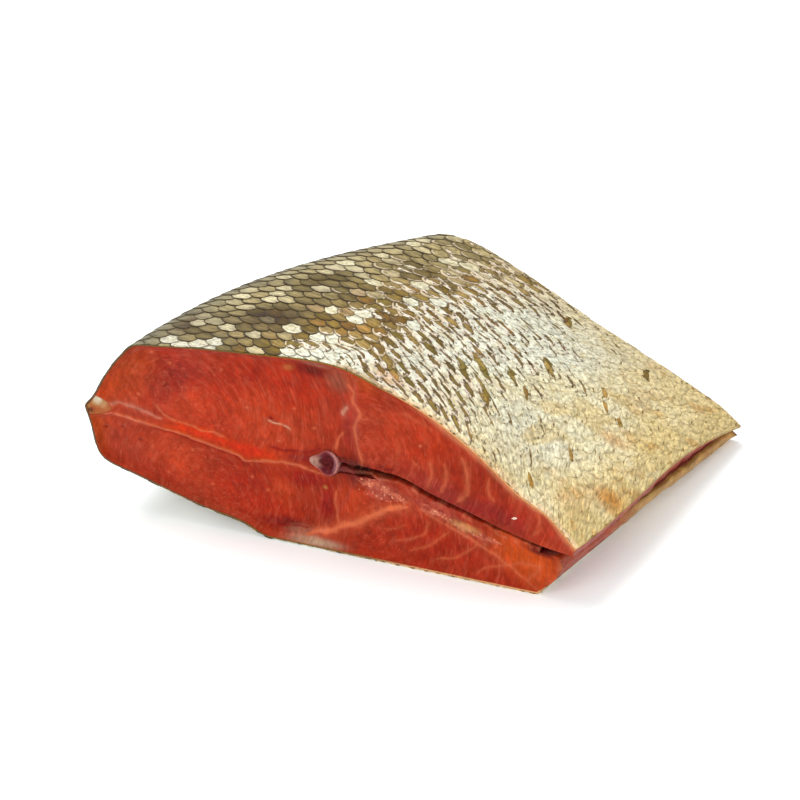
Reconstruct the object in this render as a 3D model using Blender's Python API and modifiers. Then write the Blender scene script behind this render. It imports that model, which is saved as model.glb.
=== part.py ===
"""Cold-smoked salmon piece: a chunk cut crosswise from a whole gutted fish.

The piece lies on its side. X runs from the back of the fish to its belly, Y from the near
cut to the far cut and Z is up. The origin is the middle of the footprint, on the table.
Sections are closed outlines in XZ planes, and every solid is a loft along Y through them.
"""
import bmesh
import bpy
import numpy as np

# Driving dimensions, in metres
LENGTH = 0.104            # near cut to far cut
NEAR_DEPTH = 0.150        # back to belly along the near cut
NEAR_THICKNESS = 0.0615   # table to top of the near cut
FAR_DEPTH = 0.118
FAR_THICKNESS = 0.0538
BACK_SHIFT = 0.0515       # how far the back moves over towards the belly by the far cut
SKIN = 0.0010             # thickness of the skin
GAP = 0.0003              # clearance between pieces that touch
FLESH_INSET = 0.0015      # surface of the flesh below the outside of the skin
CUT_STEP = 0.0012         # back part of each cut lies this much deeper than the belly part
BONE_RECESS = 0.0006      # ends of the backbone below the cuts

# Shape of the taper
BACK_BOW = 0.56           # outward bow of the back line between the cuts, as a share of its shift
BELLY_BOW = 0.40          # the same for the belly line
TOP_FULLNESS = 0.06       # extra height of the upper side half way along
LOWER_FLAP_TUCK = 0.0020  # the lower flap draws in under the upper one between the cuts
FLAP_CUT_BACK = 0.0042    # the upper flap's edge swings back by this much between the cuts
FLAP_CUT_SKEW = 1.5       # more than 1 puts the deepest place nearer to the far cut
FLAP_CUT_BEND = 4         # how closely the points of the outline crowd towards that edge
LIP_CUT_SHARE = 0.7       # share of the swing that the meat inside the flap follows

# Backbone
BONE_HALF_WIDTH = 0.0032
BONE_HALF_HEIGHT = 0.0042
BONE_WAIST = 0.16         # share of its radius that a vertebra loses at its waist
VERTEBRAE = 13
ARCH_HEIGHT = 0.0024      # ridge of the neural arches on the side of the back
ARCH_SPREAD = 0.38        # half width of that ridge, in radians
CORD_OPENING = 0.70       # half angle on the belly side left open to the blood line

# Cartilage and fat at the root of the back fin, which sits mostly above the ridge of the back
FIN_ROOT_REACH = 0.0062

# Outlines as (share of the depth from the back, share of the thickness above the table).
# The upper pair runs from the ridge of the back to the edge of the upper belly flap, the
# lower pair from the ridge under the piece to the cut end of the lower flap.
UPPER_NEAR = [(0, 0.53), (0.022, 0.60), (0.052, 0.73), (0.084, 0.835), (0.115, 0.905), (0.175, 0.93),
              (0.255, 0.955), (0.37, 0.98), (0.47, 1.0), (0.54, 0.99), (0.60, 0.942), (0.70, 0.845),
              (0.80, 0.692), (0.887, 0.516), (0.945, 0.432), (1.0, 0.29)]
UPPER_FAR = [(0, 0.50), (0.02, 0.62), (0.045, 0.74), (0.078, 0.86), (0.115, 0.95), (0.17, 0.995),
             (0.24, 0.985), (0.32, 0.92), (0.40, 0.835), (0.49, 0.73), (0.58, 0.62), (0.68, 0.51),
             (0.78, 0.40), (0.87, 0.295), (0.945, 0.20), (1.0, 0.10)]
LOWER_NEAR = [(0, 0.53), (0.012, 0.42), (0.024, 0.29), (0.05, 0.235), (0.114, 0.19), (0.24, 0.098),
              (0.325, 0.058), (0.385, 0), (0.48, 0), (0.60, 0), (0.74, 0), (0.86, 0), (0.92, 0),
              (0.935, 0.02), (0.960, 0.09), (0.973, 0.17)]
LOWER_FAR = [(0, 0.50), (0.012, 0.38), (0.03, 0.27), (0.06, 0.20), (0.12, 0.13), (0.22, 0.055),
             (0.33, 0.01), (0.42, 0), (0.50, 0), (0.62, 0), (0.76, 0), (0.88, 0), (0.93, 0),
             (0.955, 0.0), (0.978, 0.012), (0.990, 0.035)]
SKIN_END_POINT = 13       # point of the lower outline where the skin stops
BESIDE_BONE_POINT = 9     # point of the upper and of the lower outline level with the backbone
# Walls of the gutted belly slit, from the backbone out to the two lips
SLIT_TOP_NEAR = [(0.535, 0.505), (0.60, 0.485), (0.655, 0.475), (0.713, 0.42), (0.793, 0.36),
                 (0.853, 0.31), (0.927, 0.265), (0.990, 0.240)]
SLIT_TOP_FAR = [(0.548, 0.458), (0.60, 0.415), (0.655, 0.375), (0.713, 0.33), (0.793, 0.265),
                (0.853, 0.215), (0.927, 0.145), (0.985, 0.085)]
SLIT_LOW_NEAR = [(0.535, 0.43), (0.60, 0.435), (0.655, 0.435), (0.713, 0.375), (0.793, 0.315),
                 (0.853, 0.268), (0.927, 0.228), (0.963, 0.222)]
SLIT_LOW_FAR = [(0.548, 0.40), (0.60, 0.365), (0.655, 0.325), (0.713, 0.285), (0.793, 0.225),
                (0.853, 0.175), (0.927, 0.11), (0.975, 0.062)]
BONE_NEAR = (0.503, 0.475)
BONE_FAR = (0.505, 0.437)
SEPTUM_SHARE = 0.565      # where the sheet between back and belly meat crosses the upper half
SEPTUM_SLANT = 0.10       # how far it runs back again below the backbone
STEP_SOFTNESS = 0.0009    # width over which the cut steps down at that sheet
RIPPLE_X = 0.0058         # soft unevenness of the cuts: wave lengths over 2 pi, and its share of the step
RIPPLE_Z = 0.0071
RIPPLE_SHARE = 0.25

# Resolution
STATIONS = 12             # sections along the piece
PER_POINT = 2             # outline samples for each outline point
FIN_COLUMNS = 7           # across the face of the fin root
FIN_SAMPLES_ABOVE = 2     # outline samples from the ridge of the back up to the end of the fin root
FIN_SAMPLES_BELOW = 1
FLESH_ROWS = 6
BONE_RINGS_EACH = 4

FULL_WIDTH = BACK_SHIFT + FAR_DEPTH
RIDGE = (len(UPPER_NEAR) - 1) * PER_POINT
SKIN_END = RIDGE + SKIN_END_POINT * PER_POINT
BELLY_COLUMNS = (len(UPPER_NEAR) - 1 - BESIDE_BONE_POINT) * PER_POINT + 1
BONE_COLUMNS = 2 * RIDGE - FIN_SAMPLES_ABOVE - FIN_SAMPLES_BELOW + FIN_COLUMNS - 2 * BELLY_COLUMNS
# Angles round the backbone where flesh faces it, and where it meets the blood line
ROUND_BONE = np.linspace(CORD_OPENING, 2 * np.pi - CORD_OPENING, BONE_COLUMNS)
OPEN_BONE = np.array([-0.5, 0, 0.5]) * CORD_OPENING


def catmull_rom(points, steps):
    """Smooth line through the points, with the given number of steps between two of them."""
    p = np.vstack([2 * points[0] - points[1], points, 2 * points[-1] - points[-2]])
    line = []
    for i in range(len(points) - 1):
        a, b, c, d = p[i:i + 4]
        for t in np.arange(steps) / steps:
            line.append(0.5 * (2 * b + (c - a) * t + (2 * a - 5 * b + 4 * c - d) * t ** 2
                               + (3 * b - a - 3 * c + d) * t ** 3))
    line.append(points[-1])
    return np.array(line)


def back_line(t):
    """X of the ridge of the back at share t of the length."""
    return BACK_SHIFT * (t - BACK_BOW * t * (1 - t))


def belly_line(t):
    """X of the edge of the upper belly flap."""
    return NEAR_DEPTH + (FULL_WIDTH - NEAR_DEPTH) * (t + BELLY_BOW * t * (1 - t))


def place(share, t):
    """Blended (depth, thickness) shares at share t of the length, as (x, z)."""
    near, far = np.array(share[0], float), np.array(share[1], float)
    w = near[..., 0] * (1 - t) + far[..., 0] * t
    z = near[..., 1] * NEAR_THICKNESS * (1 - t) + far[..., 1] * FAR_THICKNESS * t
    x = back_line(t) + (belly_line(t) - back_line(t)) * w
    return np.stack([x, z], axis=-1), w


def swell(t):
    """Fullness of the piece between its two cuts, 0 at the cuts."""
    return np.sin(np.pi * min(max(t, 0.0), 1.0))


def flap_cut(t):
    """How far the edge of the upper flap lies back at share t of the length, 0 at the cuts."""
    return FLAP_CUT_BACK * np.sin(np.pi * min(max(t, 0.0), 1.0) ** FLAP_CUT_SKEW)


def cut_back(line, distance):
    """The line ending earlier by the distance, on the same curve and with as many points."""
    reach = np.r_[0, np.cumsum(np.linalg.norm(np.diff(line, axis=0), axis=1))]
    at = reach - distance * (reach / reach[-1]) ** FLAP_CUT_BEND
    return np.column_stack([np.interp(at, reach, line[:, 0]), np.interp(at, reach, line[:, 1])])


def outline(t):
    """Outside of the piece at share t, from the upper flap's edge round the back to the lower flap."""
    upper, w = place((UPPER_NEAR, UPPER_FAR), t)
    upper[:, 1] *= 1 + TOP_FULLNESS * swell(t) * (1 - 0.6 * w)
    lower, w = place((LOWER_NEAR, LOWER_FAR), t)
    lower[:, 0] -= LOWER_FLAP_TUCK * swell(t) ** 0.6 * w ** 6
    top = cut_back(catmull_rom(upper, PER_POINT), flap_cut(t))
    line = np.vstack([top[::-1], catmull_rom(lower, PER_POINT)[1:]])
    line[:, 1] = np.maximum(line[:, 1], 0.0)
    return line


def inward(line, distance):
    """The line moved to its inner side, which is on its left, with mitred corners."""
    step = np.diff(line, axis=0)
    side = np.column_stack([-step[:, 1], step[:, 0]]) / np.linalg.norm(step, axis=1)[:, None]
    before, after = np.vstack([side[:1], side]), np.vstack([side, side[-1:]])
    miter = before + after
    miter /= np.maximum((miter * before).sum(axis=1), 0.5)[:, None]
    return line + miter * np.broadcast_to(distance, len(line))[:, None]


def resample(line, shares):
    """Points at the given shares of the line's length."""
    reach = np.r_[0, np.cumsum(np.linalg.norm(np.diff(line, axis=0), axis=1))]
    at = np.asarray(shares) * reach[-1]
    return np.column_stack([np.interp(at, reach, line[:, 0]), np.interp(at, reach, line[:, 1])])


def fin_root_face(t, line, gap):
    """Curved face between the fin root and the flesh, moved by gap towards the flesh."""
    first, last = line[RIDGE - FIN_SAMPLES_ABOVE], line[RIDGE + FIN_SAMPLES_BELOW]
    along = (last - first) / np.linalg.norm(last - first)
    share = np.linspace(0, 1, FIN_COLUMNS)[:, None]
    face = (first - along * gap) * (1 - share) + (last + along * gap) * share
    reach = FIN_ROOT_REACH * (belly_line(t) - back_line(t)) / NEAR_DEPTH
    face[:, 0] += (reach + gap) * np.sin(np.pi * share[:, 0]) ** 0.8
    return face


def flesh_outline(t):
    """Outside of the flesh: under the skin, round the fin root, and bare at the lower flap's end."""
    whole = outline(t)
    inset = np.full(len(whole), FLESH_INSET)
    inset[SKIN_END + 1:] = np.linspace(FLESH_INSET, 0, len(whole) - SKIN_END)[1:]
    line = inward(whole, inset)
    face = fin_root_face(t, line, GAP)
    return np.vstack([line[:RIDGE - FIN_SAMPLES_ABOVE], face, line[RIDGE + FIN_SAMPLES_BELOW + 1:]])


def bone_centre(t):
    """(x, z) of the backbone's axis."""
    return place((BONE_NEAR, BONE_FAR), t)[0]


def bone_line(t, angles, extra=0.0, size=1.0):
    """Points round the backbone, whose neural arch points at the back."""
    to_back = np.pi - np.abs((angles + np.pi) % (2 * np.pi) - np.pi)
    arch = ARCH_HEIGHT * np.exp(-(to_back / ARCH_SPREAD) ** 2)
    x = np.cos(angles) * (BONE_HALF_WIDTH * size + arch + extra)
    z = np.sin(angles) * (BONE_HALF_HEIGHT * size + arch + extra)
    return bone_centre(t) + np.column_stack([x, z])


def inner_outline(t):
    """Upper wall of the belly slit, round the backbone and back along the lower wall.

    It has as many points as the outside of the flesh, and each faces its own.
    """
    columns = np.linspace(0, 1, BELLY_COLUMNS)
    top = catmull_rom(place((SLIT_TOP_NEAR, SLIT_TOP_FAR), t)[0], PER_POINT)
    top = cut_back(top, LIP_CUT_SHARE * flap_cut(t))[::-1]
    low = catmull_rom(place((SLIT_LOW_NEAR, SLIT_LOW_FAR), t)[0], PER_POINT)
    return np.vstack([resample(top, columns), bone_line(t, ROUND_BONE, extra=GAP), resample(low, columns)])


def cut_relief(x, z, t):
    """Depth of a cut's surface: the back part lies lower than the belly part beyond the septum."""
    centre = bone_centre(t)
    below = np.clip((centre[1] - z) / centre[1], 0, 1)
    septum = back_line(t) + (belly_line(t) - back_line(t)) * (SEPTUM_SHARE - SEPTUM_SLANT * below ** 1.5)
    behind = 1 / (1 + np.exp((x - septum) / STEP_SOFTNESS))
    ripple = 0.5 + 0.5 * np.sin(x / RIPPLE_X) * np.sin(z / RIPPLE_Z)
    return CUT_STEP * ((1 - RIPPLE_SHARE) * behind + RIPPLE_SHARE * ripple)


def new_collection(name):
    collection = bpy.data.collections.new(name)
    bpy.context.scene.collection.children.link(collection)
    return collection


def new_material(name, colour, roughness):
    material = bpy.data.materials.new(name)
    material.use_nodes = True
    shader = material.node_tree.nodes["Principled BSDF"]
    shader.inputs["Base Color"].default_value = (*colour, 1)
    shader.inputs["Roughness"].default_value = roughness
    shader.inputs["Metallic"].default_value = 0.0
    return material


def new_object(name, mesh_tool, collection, material=None):
    mesh = bpy.data.meshes.new(name)
    bmesh.ops.recalc_face_normals(mesh_tool, faces=mesh_tool.faces)
    mesh_tool.to_mesh(mesh)
    mesh_tool.free()
    if material:
        mesh.materials.append(material)
    item = bpy.data.objects.new(name, mesh)
    collection.objects.link(item)
    return item


def to_frame(point, y):
    """World position of section point (x, z) at distance y from the near cut."""
    return (point[0] - FULL_WIDTH / 2, y - LENGTH / 2, point[1])


def loft(sections, distances, closed):
    """Surface through sections of equal count. A closed one gets both ends filled."""
    tool = bmesh.new()
    rings = [[tool.verts.new(to_frame(p, y)) for p in line] for line, y in zip(sections, distances)]
    count = len(rings[0])
    for a, b in zip(rings, rings[1:]):
        for i in range(count if closed else count - 1):
            j = (i + 1) % count
            tool.faces.new((a[i], a[j], b[j], b[i]))
    if closed:
        for ring in (rings[0], rings[-1]):
            tool.faces.new(ring)
    return tool


def slab(name, collection):
    """Block between the two crosswise cuts, taller and wider than the piece."""
    tool = bmesh.new()
    bmesh.ops.create_cube(tool, size=1.0)
    bmesh.ops.scale(tool, vec=(FULL_WIDTH * 1.5, LENGTH, NEAR_THICKNESS * 3), verts=tool.verts)
    block = new_object(name, tool, collection)
    block.display_type = "WIRE"
    block.hide_render = True
    return block


def make_skin(collection, material, cutter):
    """Skin of both sides, one sheet from belly edge to belly edge, trimmed flush with the cuts."""
    shares = np.linspace(-0.03, 1.03, STATIONS + 1)
    lines = [outline_beyond(t)[:SKIN_END + 1] for t in shares]
    skin = new_object("skin", loft(lines, shares * LENGTH, closed=False), collection, material)
    shell = skin.modifiers.new("Thickness", "SOLIDIFY")
    shell.thickness = SKIN
    shell.offset = -1
    shell.use_even_offset = True
    trim = skin.modifiers.new("Crosswise cuts", "BOOLEAN")
    trim.operation = "INTERSECT"
    trim.object = cutter
    return skin


def outline_beyond(t):
    """The outline carried on straight past the cuts."""
    inside = min(max(t, 0.0), 1.0)
    step = 0.02
    inner = inside + step if inside < 0.5 else inside - step
    slope = (outline(inner) - outline(inside)) / (inner - inside)
    line = outline(inside) + slope * (t - inside)
    line[:, 1] = np.maximum(line[:, 1], 0.0)
    return line


def make_flesh(collection, material):
    """Meat of both sides in one piece: a U round the belly slit, joined at the back."""
    shares = np.linspace(0, 1, STATIONS)
    rows = np.linspace(0, 1, FLESH_ROWS)[None, :, None]
    last_station, last_row = STATIONS - 1, FLESH_ROWS - 1
    grids = [inner_outline(t)[:, None] * (1 - rows) + flesh_outline(t)[:, None] * rows for t in shares]
    last_column = len(grids[0]) - 1
    tool = bmesh.new()
    corner = {}
    for s, t in enumerate(shares):
        for c in range(last_column + 1):
            for r in range(FLESH_ROWS):
                if s not in (0, last_station) and r not in (0, last_row) and c not in (0, last_column):
                    continue
                point, y = grids[s][c, r], t * LENGTH
                if s in (0, last_station):
                    depth = cut_relief(point[0], point[1], t) * (1 - rows[0, r, 0] ** 3)
                    behind = grids[1][c, r] if s == 0 else grids[-2][c, r]
                    point = point + (behind - point) * depth * last_station / LENGTH
                    y += depth if s == 0 else -depth
                corner[s, c, r] = tool.verts.new(to_frame(point, y))
    for c in range(last_column):
        for r in range(last_row):
            for s in (0, last_station):
                tool.faces.new([corner[s, i, j] for i, j in ((c, r), (c + 1, r), (c + 1, r + 1), (c, r + 1))])
    for s in range(last_station):
        for c in range(last_column):
            for r in (0, last_row):
                tool.faces.new([corner[i, j, r] for i, j in ((s, c), (s + 1, c), (s + 1, c + 1), (s, c + 1))])
        for r in range(last_row):
            for c in (0, last_column):
                tool.faces.new([corner[i, c, j] for i, j in ((s, r), (s + 1, r), (s + 1, r + 1), (s, r + 1))])
    return new_object("flesh", tool, collection, material)


def make_backbone(collection, material):
    """Row of waisted vertebrae with their neural arches, from cut to cut."""
    rings = VERTEBRAE * BONE_RINGS_EACH + 1
    angles = np.concatenate([ROUND_BONE, OPEN_BONE])
    distances = np.linspace(BONE_RECESS, LENGTH - BONE_RECESS, rings)
    sections = []
    for i, y in enumerate(distances):
        waist = np.sin(np.pi * i / BONE_RINGS_EACH) ** 2
        sections.append(bone_line(y / LENGTH, angles, size=1 - BONE_WAIST * waist))
    bone = new_object("backbone", loft(sections, distances, closed=True), collection, material)
    bone.data.shade_smooth()
    return bone


def make_fin_root(collection, material):
    """Pale cartilage and fat between the skin and the flesh along the ridge of the back."""
    shares = np.linspace(0, 1, STATIONS)
    sections = []
    for t in shares:
        line = inward(outline(t), FLESH_INSET)
        under_skin = line[RIDGE - FIN_SAMPLES_ABOVE:RIDGE + FIN_SAMPLES_BELOW + 1]
        face = fin_root_face(t, line, -GAP)
        sections.append(np.vstack([under_skin[1:-1], face[::-1]]))
    return new_object("fin_root", loft(sections, shares * LENGTH, closed=True), collection, material)


def main():
    for item in list(bpy.data.objects):
        bpy.data.objects.remove(item, do_unlink=True)
    piece = new_collection("salmon_piece")
    cutters = new_collection("cutters")
    make_skin(piece, new_material("skin", (0.46, 0.42, 0.29), 0.45), slab("crosswise_cuts", cutters))
    make_flesh(piece, new_material("flesh", (0.52, 0.05, 0.02), 0.35))
    make_backbone(piece, new_material("backbone", (0.55, 0.36, 0.33), 0.5))
    make_fin_root(piece, new_material("fin_root", (0.66, 0.55, 0.38), 0.5))


main()
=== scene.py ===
"""Looks of a cold-smoked salmon piece: scaled silvery skin, cut red flesh, backbone and fin root.

The piece lies on its side. X runs from the back of the fish to its belly, Y from the near cut
to the far cut and Z is up. Section points are (x, z) with x from the ridge of the back at the
near cut. On the skin, s is the distance round the section from the ridge of the back, positive
over the upper side and negative under the piece, and y is the distance from the near cut.
Lengths are millimetres until a mesh is made.
"""

import bmesh
import bpy
import numpy as np
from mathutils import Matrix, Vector
from mathutils.geometry import delaunay_2d_cdt


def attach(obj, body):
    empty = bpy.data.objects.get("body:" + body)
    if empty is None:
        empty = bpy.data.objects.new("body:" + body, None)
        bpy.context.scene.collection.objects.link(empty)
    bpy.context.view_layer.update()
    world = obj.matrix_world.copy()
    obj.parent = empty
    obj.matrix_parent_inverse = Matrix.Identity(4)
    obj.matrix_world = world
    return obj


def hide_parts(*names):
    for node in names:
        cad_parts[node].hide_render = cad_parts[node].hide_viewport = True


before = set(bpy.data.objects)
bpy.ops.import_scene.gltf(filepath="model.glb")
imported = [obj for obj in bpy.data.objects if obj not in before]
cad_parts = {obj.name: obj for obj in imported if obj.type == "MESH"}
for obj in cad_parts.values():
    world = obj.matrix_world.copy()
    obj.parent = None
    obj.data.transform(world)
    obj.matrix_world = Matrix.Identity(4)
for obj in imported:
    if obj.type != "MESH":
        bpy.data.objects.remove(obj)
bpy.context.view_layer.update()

MM = 0.001

# Driving dimensions, as in the solids
LENGTH = 104.0
NEAR_DEPTH = 150.0
NEAR_THICKNESS = 61.5
FAR_DEPTH = 118.0
FAR_THICKNESS = 53.8
BACK_SHIFT = 51.5
BACK_BOW = 0.56
BELLY_BOW = 0.40
TOP_FULLNESS = 0.06
LOWER_FLAP_TUCK = 2.0
FLAP_CUT_BACK = 4.2       # how far the upper flap's edge swings back between the cuts
FLAP_CUT_SKEW = 1.5       # above 1 where it swings back most nearer to the far cut
FLAP_CUT_BEND = 4         # how steeply the swing fades away from the edge
LIP_CUT_SHARE = 0.7       # how much of it the upper lip of the slit follows
FULL_WIDTH = BACK_SHIFT + FAR_DEPTH
ORIGIN = np.array([FULL_WIDTH / 2, LENGTH / 2, 0.0])
BONE_HALF_WIDTH = 3.2
BONE_HALF_HEIGHT = 4.2
BONE_WAIST = 0.16
VERTEBRAE = 13
BONE_RECESS = 0.6
ARCH_HEIGHT = 2.4
ARCH_SPREAD = 0.38
CORD_OPENING = 0.70
FIN_ROOT_REACH = 6.2
CUT_STEP = 1.2
SEPTUM_SHARE = 0.565
SEPTUM_SLANT = 0.10

# Layers under the outside of the piece
SCALE_LAYER = 0.55        # room for the scales above the sheet of skin
SKIN_BOTTOM = 1.06
FLESH_INSET = 1.05

# Outlines as (share of the depth from the back, share of the thickness above the table)
UPPER_NEAR = [(0, 0.53), (0.022, 0.60), (0.052, 0.73), (0.084, 0.835), (0.115, 0.905), (0.175, 0.93),
              (0.255, 0.955), (0.37, 0.98), (0.47, 1.0), (0.54, 0.99), (0.60, 0.942), (0.70, 0.845),
              (0.80, 0.692), (0.887, 0.516), (0.945, 0.432), (1.0, 0.29)]
UPPER_FAR = [(0, 0.50), (0.02, 0.62), (0.045, 0.74), (0.078, 0.86), (0.115, 0.95), (0.17, 0.995),
             (0.24, 0.985), (0.32, 0.92), (0.40, 0.835), (0.49, 0.73), (0.58, 0.62), (0.68, 0.51),
             (0.78, 0.40), (0.87, 0.295), (0.945, 0.20), (1.0, 0.10)]
LOWER_NEAR = [(0, 0.53), (0.012, 0.42), (0.024, 0.29), (0.05, 0.235), (0.114, 0.19), (0.24, 0.098),
              (0.325, 0.058), (0.385, 0), (0.48, 0), (0.60, 0), (0.74, 0), (0.86, 0), (0.92, 0),
              (0.935, 0.02), (0.960, 0.09), (0.973, 0.17)]
LOWER_FAR = [(0, 0.50), (0.012, 0.38), (0.03, 0.27), (0.06, 0.20), (0.12, 0.13), (0.22, 0.055),
             (0.33, 0.01), (0.42, 0), (0.50, 0), (0.62, 0), (0.76, 0), (0.88, 0), (0.93, 0),
             (0.955, 0.0), (0.978, 0.012), (0.990, 0.035)]
SKIN_END_POINT = 13
SLIT_TOP_NEAR = [(0.535, 0.505), (0.60, 0.485), (0.655, 0.475), (0.713, 0.42), (0.793, 0.36),
                 (0.853, 0.31), (0.927, 0.265), (0.990, 0.240)]
SLIT_TOP_FAR = [(0.548, 0.458), (0.60, 0.415), (0.655, 0.375), (0.713, 0.33), (0.793, 0.265),
                (0.853, 0.215), (0.927, 0.145), (0.985, 0.085)]
SLIT_LOW_NEAR = [(0.535, 0.43), (0.60, 0.435), (0.655, 0.435), (0.713, 0.375), (0.793, 0.315),
                 (0.853, 0.268), (0.927, 0.228), (0.963, 0.222)]
SLIT_LOW_FAR = [(0.548, 0.40), (0.60, 0.365), (0.655, 0.325), (0.713, 0.285), (0.793, 0.225),
                (0.853, 0.175), (0.927, 0.11), (0.975, 0.062)]
BONE_NEAR = (0.503, 0.475)
BONE_FAR = (0.505, 0.437)

# White light that each surface reflects besides its own colour, and how brightly it is lit
SKIN_GLOSS, SKIN_LIGHT = 0.045, 1.0
FLESH_GLOSS, FLESH_LIGHT = np.array([0.03, 0.02, 0.014]), 1.3

# Fineness of the meshes
PER_POINT = 8
RIDGE = (len(UPPER_NEAR) - 1) * PER_POINT
SKIN_END = RIDGE + SKIN_END_POINT * PER_POINT
FIN_ABOVE = PER_POINT
FIN_BELOW = PER_POINT // 2
FIN_COLUMNS = 25


def srgb(red, green, blue):
    """Linear colour of a display colour given from 0 to 255."""
    c = np.array([red, green, blue]) / 255
    return np.where(c <= 0.04045, c / 12.92, ((c + 0.055) / 1.055) ** 2.4)


# ---------------------------------------------------------------- sections

def catmull_rom(points, steps):
    """Smooth line through the points, with the given number of steps between two of them."""
    p = np.vstack([2 * points[0] - points[1], points, 2 * points[-1] - points[-2]])
    t = (np.arange(steps) / steps)[None, :, None]
    a, b, c, d = (p[i:len(p) - 3 + i, None, :] for i in range(4))
    line = 0.5 * (2 * b + (c - a) * t + (2 * a - 5 * b + 4 * c - d) * t ** 2
                  + (3 * b - a - 3 * c + d) * t ** 3)
    return np.vstack([line.reshape(-1, points.shape[1]), points[-1]])


def back_line(t):
    return BACK_SHIFT * (t - BACK_BOW * t * (1 - t))


def belly_line(t):
    return NEAR_DEPTH + (FULL_WIDTH - NEAR_DEPTH) * (t + BELLY_BOW * t * (1 - t))


def place(near, far, t):
    """Blended (depth, thickness) shares at share t of the length, as (x, z)."""
    near, far = np.array(near, float), np.array(far, float)
    w = near[..., 0] * (1 - t) + far[..., 0] * t
    z = near[..., 1] * NEAR_THICKNESS * (1 - t) + far[..., 1] * FAR_THICKNESS * t
    return np.stack([back_line(t) + (belly_line(t) - back_line(t)) * w, z], axis=-1), w


def flap_cut(t):
    """How far the edge of the upper flap lies back at share t of the length, 0 at the cuts."""
    return FLAP_CUT_BACK * np.sin(np.pi * t ** FLAP_CUT_SKEW)


def arc_length(line):
    return np.r_[0, np.cumsum(np.linalg.norm(np.diff(line, axis=0), axis=1))]


def points_at(line, reach, at):
    """Points of a line at the wanted distances, where reach gives the distances of its own points."""
    return np.column_stack([np.interp(at, reach, line[:, i]) for i in range(2)])


def resample(line, count):
    """The given number of points, evenly spaced along the line."""
    reach = arc_length(line)
    return points_at(line, reach, np.linspace(0, reach[-1], count))


def cut_back(line, distance):
    """The line ending earlier by the distance, on the same curve and with as many points."""
    reach = arc_length(line)
    return points_at(line, reach, reach - distance * (reach / reach[-1]) ** FLAP_CUT_BEND)


def outline(t):
    """Outside of the piece at share t, from the upper flap's edge round the back to the lower flap."""
    swell = np.sin(np.pi * t)
    upper, w = place(UPPER_NEAR, UPPER_FAR, t)
    upper[:, 1] *= 1 + TOP_FULLNESS * swell * (1 - 0.6 * w)
    lower, w = place(LOWER_NEAR, LOWER_FAR, t)
    lower[:, 0] -= LOWER_FLAP_TUCK * swell ** 0.6 * w ** 6
    top = cut_back(catmull_rom(upper, PER_POINT), flap_cut(t))
    line = np.vstack([top[::-1], catmull_rom(lower, PER_POINT)[1:]])
    line[:, 1] = np.maximum(line[:, 1], 0.0)
    return line


def inward(line, distance):
    """The line moved to its inner side, which is on its left, with mitred corners."""
    step = np.diff(line, axis=0)
    side = np.column_stack([-step[:, 1], step[:, 0]]) / np.linalg.norm(step, axis=1)[:, None]
    before, after = np.vstack([side[:1], side]), np.vstack([side, side[-1:]])
    miter = before + after
    miter /= np.maximum((miter * before).sum(axis=1), 0.5)[:, None]
    return line + miter * np.broadcast_to(distance, len(line))[:, None]


def fin_root_face(t, line):
    """Curved face between the fin root and the flesh."""
    first, last = line[RIDGE - FIN_ABOVE], line[RIDGE + FIN_BELOW]
    share = np.linspace(0, 1, FIN_COLUMNS)[:, None]
    face = first * (1 - share) + last * share
    reach = FIN_ROOT_REACH * (belly_line(t) - back_line(t)) / NEAR_DEPTH
    face[:, 0] += reach * np.sin(np.pi * share[:, 0]) ** 0.8
    return face


def flesh_outline(t):
    """Outside of the flesh: under the skin, round the fin root, and bare at the lower flap's end."""
    whole = outline(t)
    inset = np.full(len(whole), FLESH_INSET)
    inset[SKIN_END + 1:] = np.linspace(FLESH_INSET, 0, len(whole) - SKIN_END)[1:]
    line = inward(whole, inset)
    return np.vstack([line[:RIDGE - FIN_ABOVE], fin_root_face(t, line), line[RIDGE + FIN_BELOW + 1:]])


def bone_centre(t):
    return place(BONE_NEAR, BONE_FAR, t)[0] + np.array([0.6, -0.5]) * (1 - t)


def bone_line(t, angles, size=1.0):
    """Points round the backbone, whose neural arch points at the back."""
    to_back = np.pi - np.abs((angles + np.pi) % (2 * np.pi) - np.pi)
    arch = ARCH_HEIGHT * np.exp(-(to_back / ARCH_SPREAD) ** 2)
    x = np.cos(angles) * (BONE_HALF_WIDTH + arch) * size
    z = np.sin(angles) * (BONE_HALF_HEIGHT + arch) * size
    return bone_centre(t) + np.column_stack([x, z])


def curve(near, far, t):
    """Smooth line through blended points."""
    return catmull_rom(place(near, far, t)[0], PER_POINT)


def inner_outline(t):
    """Upper wall of the belly slit, round the backbone and back along the lower wall."""
    top = cut_back(curve(SLIT_TOP_NEAR, SLIT_TOP_FAR, t), LIP_CUT_SHARE * flap_cut(t))[::-1]
    angles = np.linspace(CORD_OPENING, 2 * np.pi - CORD_OPENING, 60)
    return np.vstack([top, bone_line(t, angles), curve(SLIT_LOW_NEAR, SLIT_LOW_FAR, t)])


# ---------------------------------------------------------------- fields

NOISE_CELLS = 61          # cells on a side of the random field before it repeats


def lumps(x, y, size, seed):
    """Smooth random field between -1 and 1, with lumps of about the given size."""
    table = np.random.default_rng(seed).uniform(-1, 1, (NOISE_CELLS, NOISE_CELLS))
    u, v = x / size, y / size
    i, j = np.floor(u).astype(int), np.floor(v).astype(int)
    a, b = u - i, v - j
    a, b = a * a * (3 - 2 * a), b * b * (3 - 2 * b)
    i, j, i1, j1 = i % NOISE_CELLS, j % NOISE_CELLS, (i + 1) % NOISE_CELLS, (j + 1) % NOISE_CELLS
    low = table[i, j] * (1 - a) + table[i1, j] * a
    high = table[i, j1] * (1 - a) + table[i1, j1] * a
    return low * (1 - b) + high * b


def ramp(value, low, high):
    """Smooth step from 0 at low to 1 at high."""
    t = np.clip((value - low) / (high - low), 0, 1)
    return t * t * (3 - 2 * t)


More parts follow.
